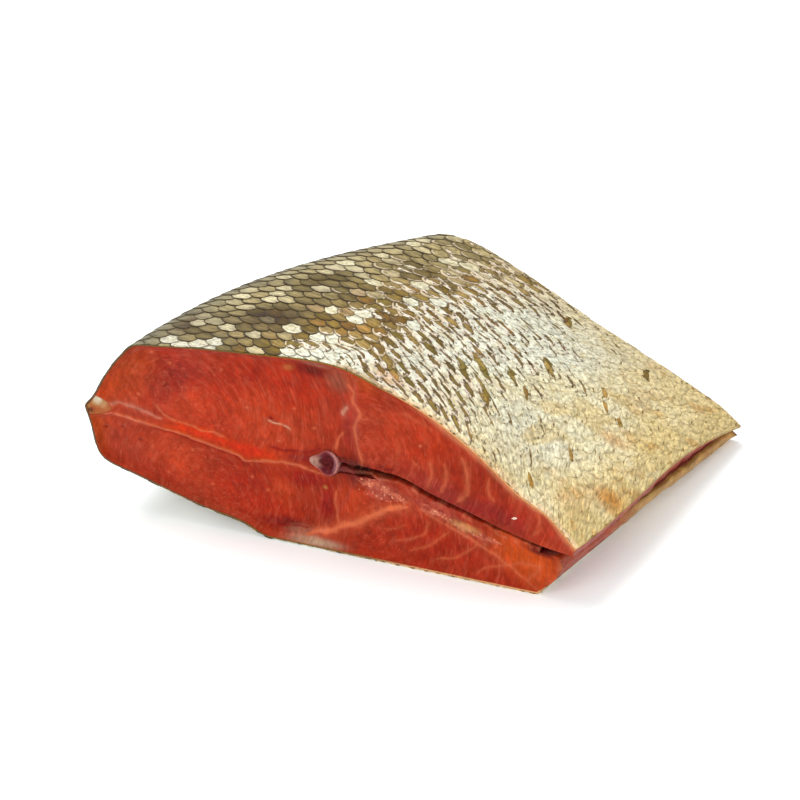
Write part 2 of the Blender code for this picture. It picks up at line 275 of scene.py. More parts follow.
def mix(a, b, share):
    """Blend of two colours, all b where the share is 1."""
    return a + (b - a) * np.asarray(share)[..., None]


def patch(x, y, centre, radii, turn=0.0):
    """1 in the middle of a soft oval and 0 well outside it."""
    c, s = np.cos(np.radians(turn)), np.sin(np.radians(turn))
    u = ((x - centre[0]) * c + (y - centre[1]) * s) / radii[0]
    v = ((y - centre[1]) * c - (x - centre[0]) * s) / radii[1]
    return np.exp(-(u * u + v * v) ** 1.5)


def to_stretch(x, z, start, end):
    """Distance of points to a straight stretch, and the share of it where the nearest point lies."""
    d = end - start
    u, v = x - start[0], z - start[1]
    t = np.clip((u * d[0] + v * d[1]) / max(d @ d, 1e-12), 0, 1)
    return np.hypot(u - d[0] * t, v - d[1] * t), t


def stroke_distance(x, z, points):
    """Distance to a smooth line through the points, and the share of its length at the nearest point."""
    line = catmull_rom(np.array(points, float), 5)
    reach = arc_length(line)
    best = np.full(x.shape, 1e9)
    share = np.zeros(x.shape)
    for k in range(len(line) - 1):
        away, t = to_stretch(x, z, line[k], line[k + 1])
        nearer = away < best
        best = np.where(nearer, away, best)
        share = np.where(nearer, (reach[k] + t * (reach[k + 1] - reach[k])) / reach[-1], share)
    return best, share


def distance_to_line(points, line):
    """Distance of each point to the nearest stretch of the line."""
    near = np.full(len(points), 1e9)
    for start, end in zip(line, line[1:]):
        near = np.minimum(near, to_stretch(*points.T, start, end)[0])
    return near


def pigment(colour, gloss, light):
    """Colour under a surface whose gloss adds a little white of its own to what is seen."""
    return np.clip((colour - gloss) / light, 0.002, 1)


# ---------------------------------------------------------------- meshes and materials

def new_mesh(name, points, faces, fields):
    """Object with vertices given in millimetres. Fields are (name, values) kept on the vertices."""
    mesh = bpy.data.meshes.new(name)
    mesh.from_pydata(((points - ORIGIN) * MM).tolist(), [], faces)
    for field, values in fields:
        if field == "flow":
            kind, key = "FLOAT_VECTOR", "vector"
        elif values.ndim > 1:
            kind, key = "FLOAT_COLOR", "color"
            values = np.column_stack([values, np.ones(len(values))])
        else:
            kind, key = "FLOAT", "value"
        layer = mesh.attributes.new(field, kind, "POINT")
        layer.data.foreach_set(key, values.astype(np.float32).ravel())
    mesh.polygons.foreach_set("use_smooth", [True] * len(mesh.polygons))
    mesh.update()
    item = bpy.data.objects.new(name, mesh)
    bpy.context.scene.collection.objects.link(item)
    return item


def closed_mesh(name, points, faces, fields, material):
    """The same with every face turned outwards, and with a material."""
    item = new_mesh(name, points, faces, fields)
    tool = bmesh.new()
    tool.from_mesh(item.data)
    bmesh.ops.recalc_face_normals(tool, faces=tool.faces)
    tool.to_mesh(item.data)
    tool.free()
    item.data.materials.append(material)
    return item


def grid_faces(rows, columns, start=0, wrap=False):
    """Quads of a grid of vertices numbered row by row."""
    across = columns if wrap else columns - 1
    r, c = np.meshgrid(columns * np.arange(rows - 1), np.arange(across), indexing="ij")
    d = (c + 1) % columns
    quads = np.stack([r + c, r + d, r + columns + d, r + columns + c], axis=-1)
    return (quads.reshape(-1, 4) + start).tolist()


def ring_order(rows, columns):
    """Vertices round the border of a grid, in order."""
    index = np.arange(rows * columns).reshape(rows, columns)
    return np.concatenate([index[0, :-1], index[:-1, -1], index[-1, :0:-1], index[:0:-1, 0]])


def slab(over, beneath, rows, columns):
    """Points and faces of a sheet between two grids of points."""
    size = rows * columns
    ring = ring_order(rows, columns)
    after = np.roll(ring, -1)
    faces = grid_faces(rows, columns) + [f[::-1] for f in grid_faces(rows, columns, size)]
    faces += np.stack([ring + size, after + size, after, ring], axis=-1).tolist()
    return np.concatenate([over.reshape(-1, 3), beneath.reshape(-1, 3)]), faces


def tube(rings):
    """Points and faces of a closed body through rings that all have the same number of points."""
    points, size = np.vstack(rings), len(rings[0])
    faces = grid_faces(len(rings), size, wrap=True)
    faces += [list(range(size)), list(range(len(points) - size, len(points)))]
    return points, faces


class Look:
    """A node material, built with short calls."""

    def __init__(self, name, **sockets):
        self.material = bpy.data.materials.new(name)
        self.material.use_nodes = True
        self.tree = self.material.node_tree
        self.set(**sockets)

    def set(self, **sockets):
        """Sets inputs of the surface, whose names have underscores for spaces."""
        shader = self.tree.nodes["Principled BSDF"]
        for socket, value in sockets.items():
            self.put(shader.inputs[socket.replace("_", " ")], value)
        return self.material

    def put(self, target, value):
        """Sets a socket from a number, a colour or another node's output."""
        if isinstance(value, bpy.types.NodeSocket):
            self.tree.links.new(value, target)
        elif np.ndim(value):
            target.default_value = (*[float(v) for v in value], 1.0)[:len(target.default_value)]
        else:
            target.default_value = float(value)

    def node(self, kind, inputs=None, **settings):
        made = self.tree.nodes.new(kind)
        for key, value in settings.items():
            setattr(made, key, value)
        for socket, value in (inputs or {}).items():
            self.put(made.inputs[socket], value)
        return made

    def field(self, name, output="Fac"):
        return self.node("ShaderNodeAttribute", attribute_name=name).outputs[output]

    def grain(self, stretch, warp=0.0):
        """Position along the grain in metres, stretched that way and warped."""
        at = self.field("flow", "Vector")
        if warp:
            wave = self.node("ShaderNodeTexNoise", {"Scale": 0.6 / warp, "Vector": at}).outputs["Color"]
            inputs = {0: wave, 1: (warp, warp, 0), 2: at}
            at = self.node("ShaderNodeVectorMath", inputs, operation="MULTIPLY_ADD").outputs["Vector"]
        inputs = {"Vector": at, "Scale": (1 / stretch, 1, 1)}
        return self.node("ShaderNodeMapping", inputs, vector_type="TEXTURE").outputs["Vector"]

    def noise(self, scale, detail=3.0, rough=0.55, stretch=None):
        """Noise on the object, or stretched along the grain."""
        at = self.grain(stretch) if stretch else self.node("ShaderNodeTexCoord").outputs["Object"]
        inputs = {"Scale": scale, "Detail": detail, "Roughness": rough, "Vector": at}
        return self.node("ShaderNodeTexNoise", inputs).outputs["Fac"]

    def cells(self, scale, stretch, feature="F1", warp=0.0):
        """Distance to the middle of the nearest cell of a flat pattern, or to the cell's edge."""
        inputs = {"Scale": scale, "Vector": self.grain(stretch, warp)}
        settings = {"voronoi_dimensions": "2D", "feature": feature}
        return self.node("ShaderNodeTexVoronoi", inputs, **settings).outputs["Distance"]

    def math(self, operation, a, b):
        return self.node("ShaderNodeMath", {0: a, 1: b}, operation=operation).outputs[0]

    def plus(self, a, b):
        return self.math("ADD", a, b)

    def minus(self, a, b):
        return self.math("SUBTRACT", a, b)

    def times(self, product, *factors):
        for factor in factors:
            product = self.math("MULTIPLY", product, factor)
        return product

    def span(self, value, low, high, to_low=0.0, to_high=1.0):
        """Smooth step from to_low, where the value is low, to to_high, where it is high."""
        inputs = {"Value": value, "From Min": low, "From Max": high, "To Min": to_low, "To Max": to_high}
        return self.node("ShaderNodeMapRange", inputs, interpolation_type="SMOOTHSTEP").outputs["Result"]

    def blend(self, share, a, b, mode="MIX"):
        inputs = {"Factor": share, 6: a, 7: b}
        return self.node("ShaderNodeMix", inputs, data_type="RGBA", blend_type=mode).outputs[2]

    def shaded(self, colour, value, low, high, to_low, to_high):
        """The colour, made darker or brighter as the value goes from low to high."""
        return self.blend(1.0, colour, self.span(value, low, high, to_low, to_high), "MULTIPLY")

    def bump(self, height, strength, distance):
        inputs = {"Strength": strength, "Distance": distance, "Height": height}
        return self.node("ShaderNodeBump", inputs).outputs["Normal"]


def grained_look(name, scale, detail, shades, roughness, bump, **sockets):
    """Painted material with a fine grain in its colour and relief."""
    look = Look(name, **sockets)
    grain = look.noise(scale, detail)
    colour = look.shaded(look.field("paint", "Color"), grain, 0.3, 0.7, *shades)
    if isinstance(roughness, tuple):
        roughness = look.span(grain, 0.3, 0.7, *roughness)
    return look.set(Base_Color=colour, Roughness=roughness, Normal=look.bump(grain, *bump))


# ---------------------------------------------------------------- skin surface

ARC_STEP = 0.5
ARC_LOW, ARC_HIGH = -175.0, 185.0
STATION_STEP = 2.0
ARCS = np.arange(ARC_LOW, ARC_HIGH + ARC_STEP, ARC_STEP)
STATIONS = np.arange(0, LENGTH + STATION_STEP, STATION_STEP)


def skin_tables():
    """Positions and outward normals on the outline for a grid of (y, s), and s at both belly edges."""
    places, edges = [], []
    for y in STATIONS:
        line = outline(y / LENGTH)[:SKIN_END + 1][::-1]
        reach = arc_length(line)
        ridge = SKIN_END - RIDGE
        s = reach - reach[ridge]
        row = points_at(line, s, ARCS)
        ahead = (line[-1] - line[-3]) / (s[-1] - s[-3])
        behind = (line[0] - line[2]) / (s[2] - s[0])
        over, short = np.maximum(ARCS - s[-1], 0)[:, None], np.maximum(s[0] - ARCS, 0)[:, None]
        row += over * ahead + short * behind
        places.append(np.column_stack([row[:, 0], np.full(len(ARCS), y), row[:, 1]]))
        edges.append((s[0], s[-1]))
    places = np.array(places)
    along = np.gradient(places, axis=0)
    across = np.gradient(places, axis=1)
    normal = np.cross(across, along)
    normal /= np.linalg.norm(normal, axis=-1, keepdims=True)
    return places, normal, np.array(edges)


SKIN_PLACES, SKIN_NORMALS, SKIN_EDGES = skin_tables()


def skin_edges(y):
    return [np.interp(y, STATIONS, edge) for edge in SKIN_EDGES.T]


def on_skin(s, y, depth):
    """Points at the given depth below the outline, as an array of (x, y, z)."""
    u = np.clip((s - ARC_LOW) / ARC_STEP, 0, len(ARCS) - 1.001)
    v = np.clip(y / STATION_STEP, 0, len(STATIONS) - 1.001)
    i, j = u.astype(int), v.astype(int)
    a, b = (u - i)[..., None], (v - j)[..., None]

    def look(table):
        return ((table[j, i] * (1 - a) + table[j, i + 1] * a) * (1 - b)
                + (table[j + 1, i] * (1 - a) + table[j + 1, i + 1] * a) * b)

    normal = look(SKIN_NORMALS)
    normal[..., 1] = 0
    normal /= np.linalg.norm(normal, axis=-1, keepdims=True)
    point = look(SKIN_PLACES) - normal * np.asarray(depth)[..., None]
    point[..., 2] = np.maximum(point[..., 2], 0.0)
    return point


# ---------------------------------------------------------------- scales

ACROSS = np.array([9.75, -0.9])       # lattice steps in (s, y) beside the back
ALONG = np.array([1.35, -4.5])        # towards the free edges, which face the near cut
ANCHOR = np.array([51.4, 70.0])
LATTICE_FIXED = 51.0                  # s up to which the lattice is regular
LATTICE_MIDDLE = 52.0
SCALE_HALF = 0.335                    # half width of a scale, as a share of ACROSS
SCALE_ROUND = 0.52                    # length of its rounded end, as a share of ALONG
SCALE_TIP = 0.5
SCALE_ROOT = -0.78
WANDER = 0.7                          # how far the rows of scales wander
SLANT = 0.45                          # how much the free edges slant on the flank
GAP_TURN = -42                        # direction of the bare gaps of the flank
ROOT_HEIGHT = 0.04
TIP_HEIGHT = 0.50


def to_skin(p, q):
    """(s, y) of a lattice position: the scales lengthen and slant towards the belly."""
    past = np.maximum(np.abs(p) - LATTICE_FIXED, 0)
    stretch = 1 + 0.20 * np.clip(past / 46, 0, 1) + 0.05 * np.clip((past - 46) / 33, 0, 1)
    y = LATTICE_MIDDLE + (q - LATTICE_MIDDLE) * stretch - 0.0018 * past ** 2 - 0.000012 * past ** 3
    return p + WANDER * lumps(p, q, 7, 101), y + WANDER * lumps(p, q, 6, 102)


DORSAL_TAN = srgb(172, 156, 114)
OLIVE_BROWN = srgb(154, 130, 80)
GAP_BROWN = srgb(188, 150, 86)
DARK_OLIVE = srgb(98, 80, 54)
BACK_GREY = srgb(140, 136, 118)
SILVER_WHITE = srgb(222, 222, 202)
SILVER_CREAM = srgb(226, 216, 178)
GOLD = srgb(214, 182, 104)
STAIN_BROWN = srgb(190, 140, 62)
RIM_CREAM = srgb(234, 200, 160)
RIM_TAN = srgb(176, 134, 88)
ORANGE_STAIN = srgb(206, 138, 52)
PINK_TAN = srgb(200, 148, 92)
DOME_CREAM = srgb(214, 206, 172)
DOME_GREY = srgb(200, 196, 174)
PALE_SCALE = srgb(198, 190, 160)
PURPLE_BROWN = srgb(98, 82, 68)
RUSSET = srgb(152, 106, 56)
OLIVE_GREEN = srgb(138, 126, 70)
GOLD_AND_SHADE = srgb(200, 180, 118)
HATCH_GREY = srgb(150, 138, 96)
FRINGE_HIGHLIGHT = srgb(240, 220, 204)
STRIP_EDGE = srgb(92, 74, 44)
CRACK_BROWN = srgb(156, 128, 74)
SPECK_GREY = srgb(54, 50, 42)
EDGE_HIGHLIGHT = srgb(226, 206, 174)
OUTLINE_AND_SHADOW_BROWN = srgb(66, 54, 34)
NOTCH_SHADE_BROWN = srgb(112, 94, 54)
SHEET_OLIVE = srgb(96, 82, 54)
EDGE_TAN = srgb(222, 164, 112)
BACK_RIM = srgb(128, 76, 48)
FLANK_RIM = srgb(150, 108, 68)
BELLY_RIM = srgb(216, 158, 112)
# Patches of other pigment, and stains of the silver: middle in (s, y), radii, colour, strength
TONE_PATCHES = [((57, 23), (9, 8), PURPLE_BROWN, 0.85), ((37, 14), (4, 6), PURPLE_BROWN, 0.8),
                ((47, 12), (8, 8), PURPLE_BROWN, 0.45), ((59, 75), (12, 7), DARK_OLIVE, 0.40),
                ((79, 26), (9, 5), RUSSET, 0.25), ((72, 46), (9, 8), DARK_OLIVE, 0.25),
                ((50, 52), (5, 9), DARK_OLIVE, 0.45), ((112, 38), (9, 9), OLIVE_GREEN, 0.8),
                ((104, 6.5), (5, 3.5), PINK_TAN, 0.9), ((108, 3), (8, 3), OLIVE_BROWN, 0.5)]
STAINS = [((168, 25), (5, 4.5), ORANGE_STAIN, 0.95), ((164, 14), (5, 9), ORANGE_STAIN, 0.22),
          ((104, 6.5), (5, 3.5), PINK_TAN, 0.9), ((149, 50), (5, 3), ORANGE_STAIN, 0.45)]
WHITE_SCALES = [(75.3, 2.8), (79.3, 3.6), (82.6, 4.9), (86.8, 5.0), (77, -1.5), (81, -1), (85, -0.5),
                (89, -0.5), (68, 17), (75.5, 17), (81, 16), (66, 37), (67, 43), (62, 58), (60, 57)]
WHITE_REACH = 2.4         # how near to one of these places a white scale's centre is
PUFFED_ROW = (34, 57)     # s range of the small white domes along the near cut
BARE_GAPS = [((114, 62), (4.5, 0.9)), ((118, 59), (3.5, 0.8)), ((120, 93), (4, 1.0)), ((91, 94), (4, 1.0)),
             ((129, 68), (4, 0.7)), ((135, 62), (3.0, 0.6)), ((152, 8), (3, 0.8)), ((108, 41), (4, 1.0)),
             ((113, 37), (4, 1.0)), ((117, 44), (3.5, 0.8)), ((110, 32), (4, 0.8)), ((125, 40), (3.5, 0.6)),
             ((142, 60), (3, 0.5)), ((150, 30), (3.5, 0.5)), ((122, 26), (3.5, 0.7))]
# Where the silver comes in sooner: middle in (s, y), radii, how much
SILVER_PATCHES = [((84, 7), (13, 9), 0.6), ((100, 22), (10, 8), 0.3), ((83, 70), (10, 13), 0.35),
                  ((76, 36), (8, 8), 0.3), ((91, 84), (9, 12), 0.35), ((98, 2), (16, 5), 0.6)]
STRIP_TURN = np.radians(-10)          # direction of the bare strips on the lattice of scales
STRIP_REACH = 4.4                     # half length of a bare strip
STRIP_FRONT = [-0.2, 0.0, 0.3, 0.6, 1.0, 1.4]
STRIP_WIDTH = [6.0, 3.6, 1.75, 1.0, 0.42, -0.35]     # its half width as the silver front passes
NEIGHBOURS = [(0, 0), (0, 1), (0, -1), (0.5, 0.5), (0.5, -0.5), (-0.5, 0.5), (-0.5, -0.5), (1, 0),
              (-1, 0), (0.5, 1.5), (-0.5, -1.5)]
SCALE_SETBACK = 0.06      # of the cut scales behind the rim of the skin
SQUEEZE = 0.5             # how softly scales are held back at the ridge and the belly edge
RIDGE_LAP = 0.4
SKIRT = 0.30              # how deep the walls of the scales reach


def inside_scale(beta, alpha, slant=0.0):
    """Distance in mm inside the free edge of the scale centred at 0, 0 in lattice shares."""
    u = np.abs(beta) / SCALE_HALF + 1e-4
    v = np.maximum(alpha - slant * beta - (SCALE_TIP - SCALE_ROUND), 0) / SCALE_ROUND
    rho = np.hypot(u, v)
    width, length = SCALE_HALF * np.linalg.norm(ACROSS), SCALE_ROUND * np.linalg.norm(ALONG)
    return (1 - rho) / np.hypot(u / rho / width, v / rho / length)


def lattice_centres(low, high):
    """Cell centres with s between low and high, over the whole length and a little more."""
    found = []
    for i in np.arange(-40, 41):
        for j in np.arange(-45, 46):
            for half in (0.0, 0.5):
                p, q = ANCHOR + (i + half) * ACROSS + (j + half) * ALONG
                if low <= p < high and -5.5 < to_skin(p, q)[1] < LENGTH + 5.5:
                    found.append((p, q))
    return np.array(found)


def silver_front(s, y):
    """0 where the silver starts to show at the scales' edges, 1 where it covers them."""
    start = 42 + 0.55 * np.maximum(80 - y, 0)
    end = 87 + 0.50 * (92 - y)
    return (s - start) / (end - start)


def cut_rim(s, y):
    """1 on the bare margin of the skin beside the near cut, below the flank."""
    return ramp(s, 87, 94) * (1 - ramp(y + 0.6 * lumps(s, y, 2.5, 16), 0.7, 2.2))


def skin_colours(s, y):
    """Pigment and silver colours on the skin."""
    s = np.abs(s)
    tone = mix(DORSAL_TAN, OLIVE_BROWN, ramp(s + 4 * lumps(s, y, 9, 3), 52, 72))
    tone = mix(tone, BACK_GREY * (0.72 + 0.28 * ramp(s, 30, 38))[..., None], 1 - ramp(s, 26, 46))
    near_back = ramp(s, 34, 42) * (1 - ramp(s, 62, 74)) * (1 - ramp(y, 45, 65))
    tone = tone * (1 - 0.17 * near_back)[..., None]
    tone = mix(tone, GAP_BROWN, ramp(s, 118, 134))
    for centre, radii, tint, strength in TONE_PATCHES:
        tone = mix(tone, tint, strength * patch(s, y, centre, radii))
    silver = mix(SILVER_WHITE, SILVER_CREAM, ramp(s + 8 * lumps(s, y, 14, 5), 104, 128))
    silver = mix(silver, DOME_CREAM, 1 - ramp(s, 60, 84))
    belly = ramp(s + 0.5 * np.maximum(y - 30, 0) + 9 * lumps(s, y, 10, 6), 148, 180)
    belly = np.maximum(belly, ramp(y + 0.25 * s + 6 * lumps(s, y, 12, 8), 96, 132) * 0.75)
    silver = mix(silver, GOLD, np.clip(belly, 0, 0.9) * 0.74)
    silver = mix(silver, SILVER_WHITE, 0.6 * patch(s, y, (136, 26), (16, 13)))
    stain = np.clip(lumps(s, y, 7, 9) * lumps(s, y, 23, 10) * 2.2, 0, 0.45) * ramp(s, 100, 140)
    silver = mix(silver, GOLD, stain)
    for centre, radii, tint, strength in STAINS:
        silver = mix(silver, tint, strength * patch(s, y, centre, radii))
    brown = ramp(lumps(s, y, 5.5, 14) + 0.7 * lumps(s, y, 1.7, 15), 0.25, 0.8) * np.clip(belly + 0.15, 0, 1)
    silver = mix(silver, STAIN_BROWN, 0.62 * brown * ramp(s, 104, 126))
    silver = silver * (1 - 0.08 * ramp(y, 45, 90))[..., None]
    silver = mix(silver, mix(RIM_TAN, RIM_CREAM, ramp(s, 102, 112)), 0.75 * cut_rim(s, y))
    return tone, silver


def silver_at(s, y):
    """How far the silver front has passed the scale whose centre is at s, y."""
    front = silver_front(s, y) + 0.20 * lumps(s, y, 9, 21) + 0.30 * lumps(s, y, 2.3, 22)
    for centre, radii, gain in SILVER_PATCHES:
        front = front + gain * patch(s, y, centre, radii)
    return front


def along_strips(p, q):
    """Distances along and across the bare strips, on the lattice of scales."""
    c, k = np.cos(STRIP_TURN), np.sin(STRIP_TURN)
    return p * c + q * k, q * c - p * k


def silver_cover(p, q, p0, q0):
    """Above 0 where silver hides the pigment: all but a slanting strip at each scale."""
    cover = np.full(p.shape, 9.0)
    for step in NEIGHBOURS:
        p1 = p0 + step[0] * ACROSS[0] + step[1] * ALONG[0]
        q1 = q0 + step[0] * ACROSS[1] + step[1] * ALONG[1]
        s1, y1 = to_skin(p1, q1)
        along, across = along_strips(p - p1 - 0.5 * lumps(s1, y1, 2.1, 23),
                                     q - q1 - 0.9 - 0.5 * lumps(s1, y1, 2.1, 24))
        half = np.interp(silver_at(s1, y1), STRIP_FRONT, STRIP_WIDTH)
        narrowing = 1 - (along / STRIP_REACH) ** 2
        width = np.where(narrowing > 0, half * narrowing, 3 * narrowing)
        cover = np.minimum(cover, np.abs(across) - width)
    return 1.6 * cover


def lay_scales(low, high, columns, rows, seed, under):
    """Grids of points on all scales whose centres have s between low and high."""
    centres = lattice_centres(low, high)
    chance = np.random.default_rng(seed).uniform(0, 1, (len(centres), 8))[:, None, None, :]
    p0, q0 = centres[:, 0][:, None, None], centres[:, 1][:, None, None]
    slant = SLANT * ramp(p0, 55, 95)
    shift = 0.07 * (chance[..., 1] - 0.5)
    beta = SCALE_HALF * np.sin(np.linspace(-np.pi / 2, np.pi / 2, columns))[None, None, :]
    tip = SCALE_TIP - SCALE_ROUND * (1 - np.sqrt(np.clip(1 - (beta / SCALE_HALF) ** 2, 0, 1)))
    beta = beta * (0.95 + 0.09 * chance[..., 0])
    tip = tip + shift + slant * beta

    def lattice(alpha):
        return p0 + beta * ACROSS[0] + alpha * ALONG[0], q0 + beta * ACROSS[1] + alpha * ALONG[1]

    def meeting(y, alpha):
        """Where the scale's columns meet a cut."""
        for _ in range(6):
            alpha = alpha + (y - to_skin(*lattice(alpha))[1]) / (ALONG[1] * 1.1)
        return alpha

    first = np.maximum(SCALE_ROOT, meeting(LENGTH, np.full_like(tip, SCALE_ROOT)))
    last = np.minimum(tip, meeting(0.0, tip))
    kept = ((last - first) > 0.05).mean(axis=(1, 2)) > 0.15
    share = np.linspace(0, 1, rows)[None, :, None] ** 0.85
    alpha = first + (np.maximum(last, first + 0.01) - first) * share
    p, q = lattice(alpha)
    s, y = to_skin(p, q)
    y = np.clip(y, SCALE_SETBACK, LENGTH - SCALE_SETBACK)
    s0, y0 = to_skin(p0, q0)

    # Squeezed where a scale would pass the ridge or the belly edge
    edge_low, edge_high = skin_edges(y)
    limit = (-edge_low if under else edge_high) - 0.15
    s = limit - SQUEEZE * np.logaddexp(0, (limit - s) / SQUEEZE)
    s = SQUEEZE * np.logaddexp(0, (s + RIDGE_LAP) / SQUEEZE) - RIDGE_LAP

    beta = np.broadcast_to(beta, alpha.shape)
    edge = inside_scale(beta, alpha - shift, slant)
    above = np.minimum.reduce([-inside_scale(beta - 0.5, alpha + 0.5, slant),
                               -inside_scale(beta + 0.5, alpha + 0.5, slant),
                               -inside_scale(beta, alpha + 1.0, slant)])
    grid = {"s": s, "y": y, "s0": s0, "y0": y0, "p": p, "q": q, "p0": p0, "q0": q0, "alpha": alpha,
            "beta": beta, "edge": edge, "above": above, "chance": chance}
    return {key: value[kept] for key, value in grid.items()}


def paint_scales(grid):
    """Fields that the material of the scales reads, the silver front and which scales are white."""
    s, y, s0, y0, chance, edge = (grid[key] for key in ("s", "y", "s0", "y0", "chance", "edge"))
    front = silver_at(s0, y0)
    white = np.min([np.hypot(s0 - a, y0 - b) for a, b in WHITE_SCALES], axis=0) < WHITE_REACH
    row = (y0 < 4.5) & (s0 > PUFFED_ROW[0]) & (s0 < PUFFED_ROW[1]) & (chance[..., 3] < 0.85)
    stray = (chance[..., 3] > 0.90) & (front > 0.0) & (front < 0.6)
    white = white | row | stray
    front = np.where(white, 1.55, front)

    cover = np.where(white, 4.0, silver_cover(grid["p"], grid["q"], grid["p0"], grid["q0"]))
    for centre, radii in BARE_GAPS:
        cover = np.minimum(cover, 1.6) - 2.7 * patch(s, y, centre, radii, GAP_TURN)
    tone, silver = skin_colours(s, y)
    silver = mix(silver, DOME_GREY, row)
    pale = ramp(chance[..., 4], 0.6, 0.95) * ramp(s0, 30, 42) * (1 - ramp(s0, 60, 84))
    tone = mix(tone, PALE_SCALE, 0.6 * pale)
    tone = mix(tone, RUSSET, 0.45 * ramp(chance[..., 2], 0.75, 0.95) * ramp(s0, 52, 66))
    tone = mix(tone, OLIVE_GREEN, 0.6 * ramp(chance[..., 2], 0.3, 0.0) * ramp(s0, 60, 80))
    bright = 0.58 + 0.62 * chance[..., 4] + 0.18 * lumps(s0, y0, 9, 12)
    bright = 1 + (bright - 1) * (0.45 + 0.55 * ramp(s0, 24, 44))
    dome = 1 - (grid["beta"] / SCALE_HALF) ** 2
    bright = bright * (0.86 + 0.22 * dome * ramp(edge, 0.2, 1.6))
    tone = tone * bright[..., None]
    silver = silver * (0.93 + 0.12 * chance[..., 5])[..., None]
    outlined = (0.14 + 0.86 * (1 - ramp(front, 0.0, 0.5))) * (0.6 + 0.4 * ramp(s, 20, 42))
    outlined = np.where(white, 0.8, outlined)
    flow = np.stack([*along_strips(grid["p"], grid["q"]), 7 * chance[..., 0] + 0 * s], axis=-1) * MM
    tone, silver = pigment(tone, SKIN_GLOSS, SKIN_LIGHT), pigment(silver, 0.0, SKIN_LIGHT)
    calm = 3 * cut_rim(s, y)
    fields = {"tone": tone, "silver": silver, "cover": cover + calm, "edge": edge + calm,
              "above": grid["above"] + calm, "outlined": outlined, "whole": front + 0 * s, "flow": flow}
    return fields, front, white


def scale_piece(name, low, high, columns, rows, seed, under=False):
    """One mesh of overlapping scales whose centres have s between low and high."""
    grid = lay_scales(low, high, columns, rows, seed, under)
    fields, front, white = paint_scales(grid)
    s, y, edge, chance = grid["s"], grid["y"], grid["edge"], grid["chance"]
    share = (grid["alpha"] - SCALE_ROOT) / (SCALE_TIP - SCALE_ROOT)
    flatter = 1 - 0.35 * ramp(front, 0.9, 1.4) - 0.4 * (1 - ramp(s, 22, 42))
    height = ROOT_HEIGHT + (TIP_HEIGHT - ROOT_HEIGHT) * share * flatter
    dome = 1 - (grid["beta"] / SCALE_HALF) ** 2
    height = height + (0.05 + 0.10 * white) * (dome - 0.5) * ramp(edge, 0, 1.2)
    height = height - 0.10 * (1 - ramp(edge, 0.0, 0.35)) * (0.5 + white)
    crumbs = ramp(fields["cover"], -0.5, 1.0) * ramp(front, 0.2, 0.7)
    height = height + 0.09 * lumps(s, y, 1.1, 30) * crumbs + 0.05 * (crumbs - 0.5)
    height = height + 0.04 * (chance[..., 3] - 0.5)
    sign = -1.0 if under else 1.0
    count = len(s)
    ring = ring_order(rows, columns)
    top = on_skin(sign * s, y, SCALE_LAYER - height).reshape(count, -1, 3)
    flat = [v.reshape(count, -1)[:, ring] for v in (s, y, height)]
    skirt = on_skin(sign * flat[0], flat[1], SCALE_LAYER + SKIRT - 0.35 * flat[2])
    points = np.concatenate([top, skirt], axis=1)
    kept = []
    for key, value in fields.items():
        value = value.reshape(count, rows * columns, -1)
        value = np.concatenate([value, value[:, ring]], axis=1)
        kept.append((key, value.reshape(-1, 3) if value.shape[-1] == 3 else value.ravel()))
    faces = scale_faces(count, rows, columns, ring, under)
    return new_mesh(name, points.reshape(-1, 3), faces, kept)


def scale_faces(count, rows, columns, ring, flip):
    """Top, wall and bottom of every scale."""
    size = rows * columns
    quads = np.array(grid_faces(rows, columns))
    after = np.roll(np.arange(len(ring)), -1)
    wall = np.stack([ring, size + np.arange(len(ring)), size + after, ring[after]], axis=-1)
    quads = np.vstack([quads, wall])
    bottom = size + np.arange(len(ring))
    if flip:
        quads = quads[:, ::-1]
    else:
        bottom = bottom[::-1]
    total = size + len(ring)
    faces = []
    for k in range(count):
        faces += (quads + k * total).tolist()
        faces.append((bottom + k * total).tolist())
    return faces


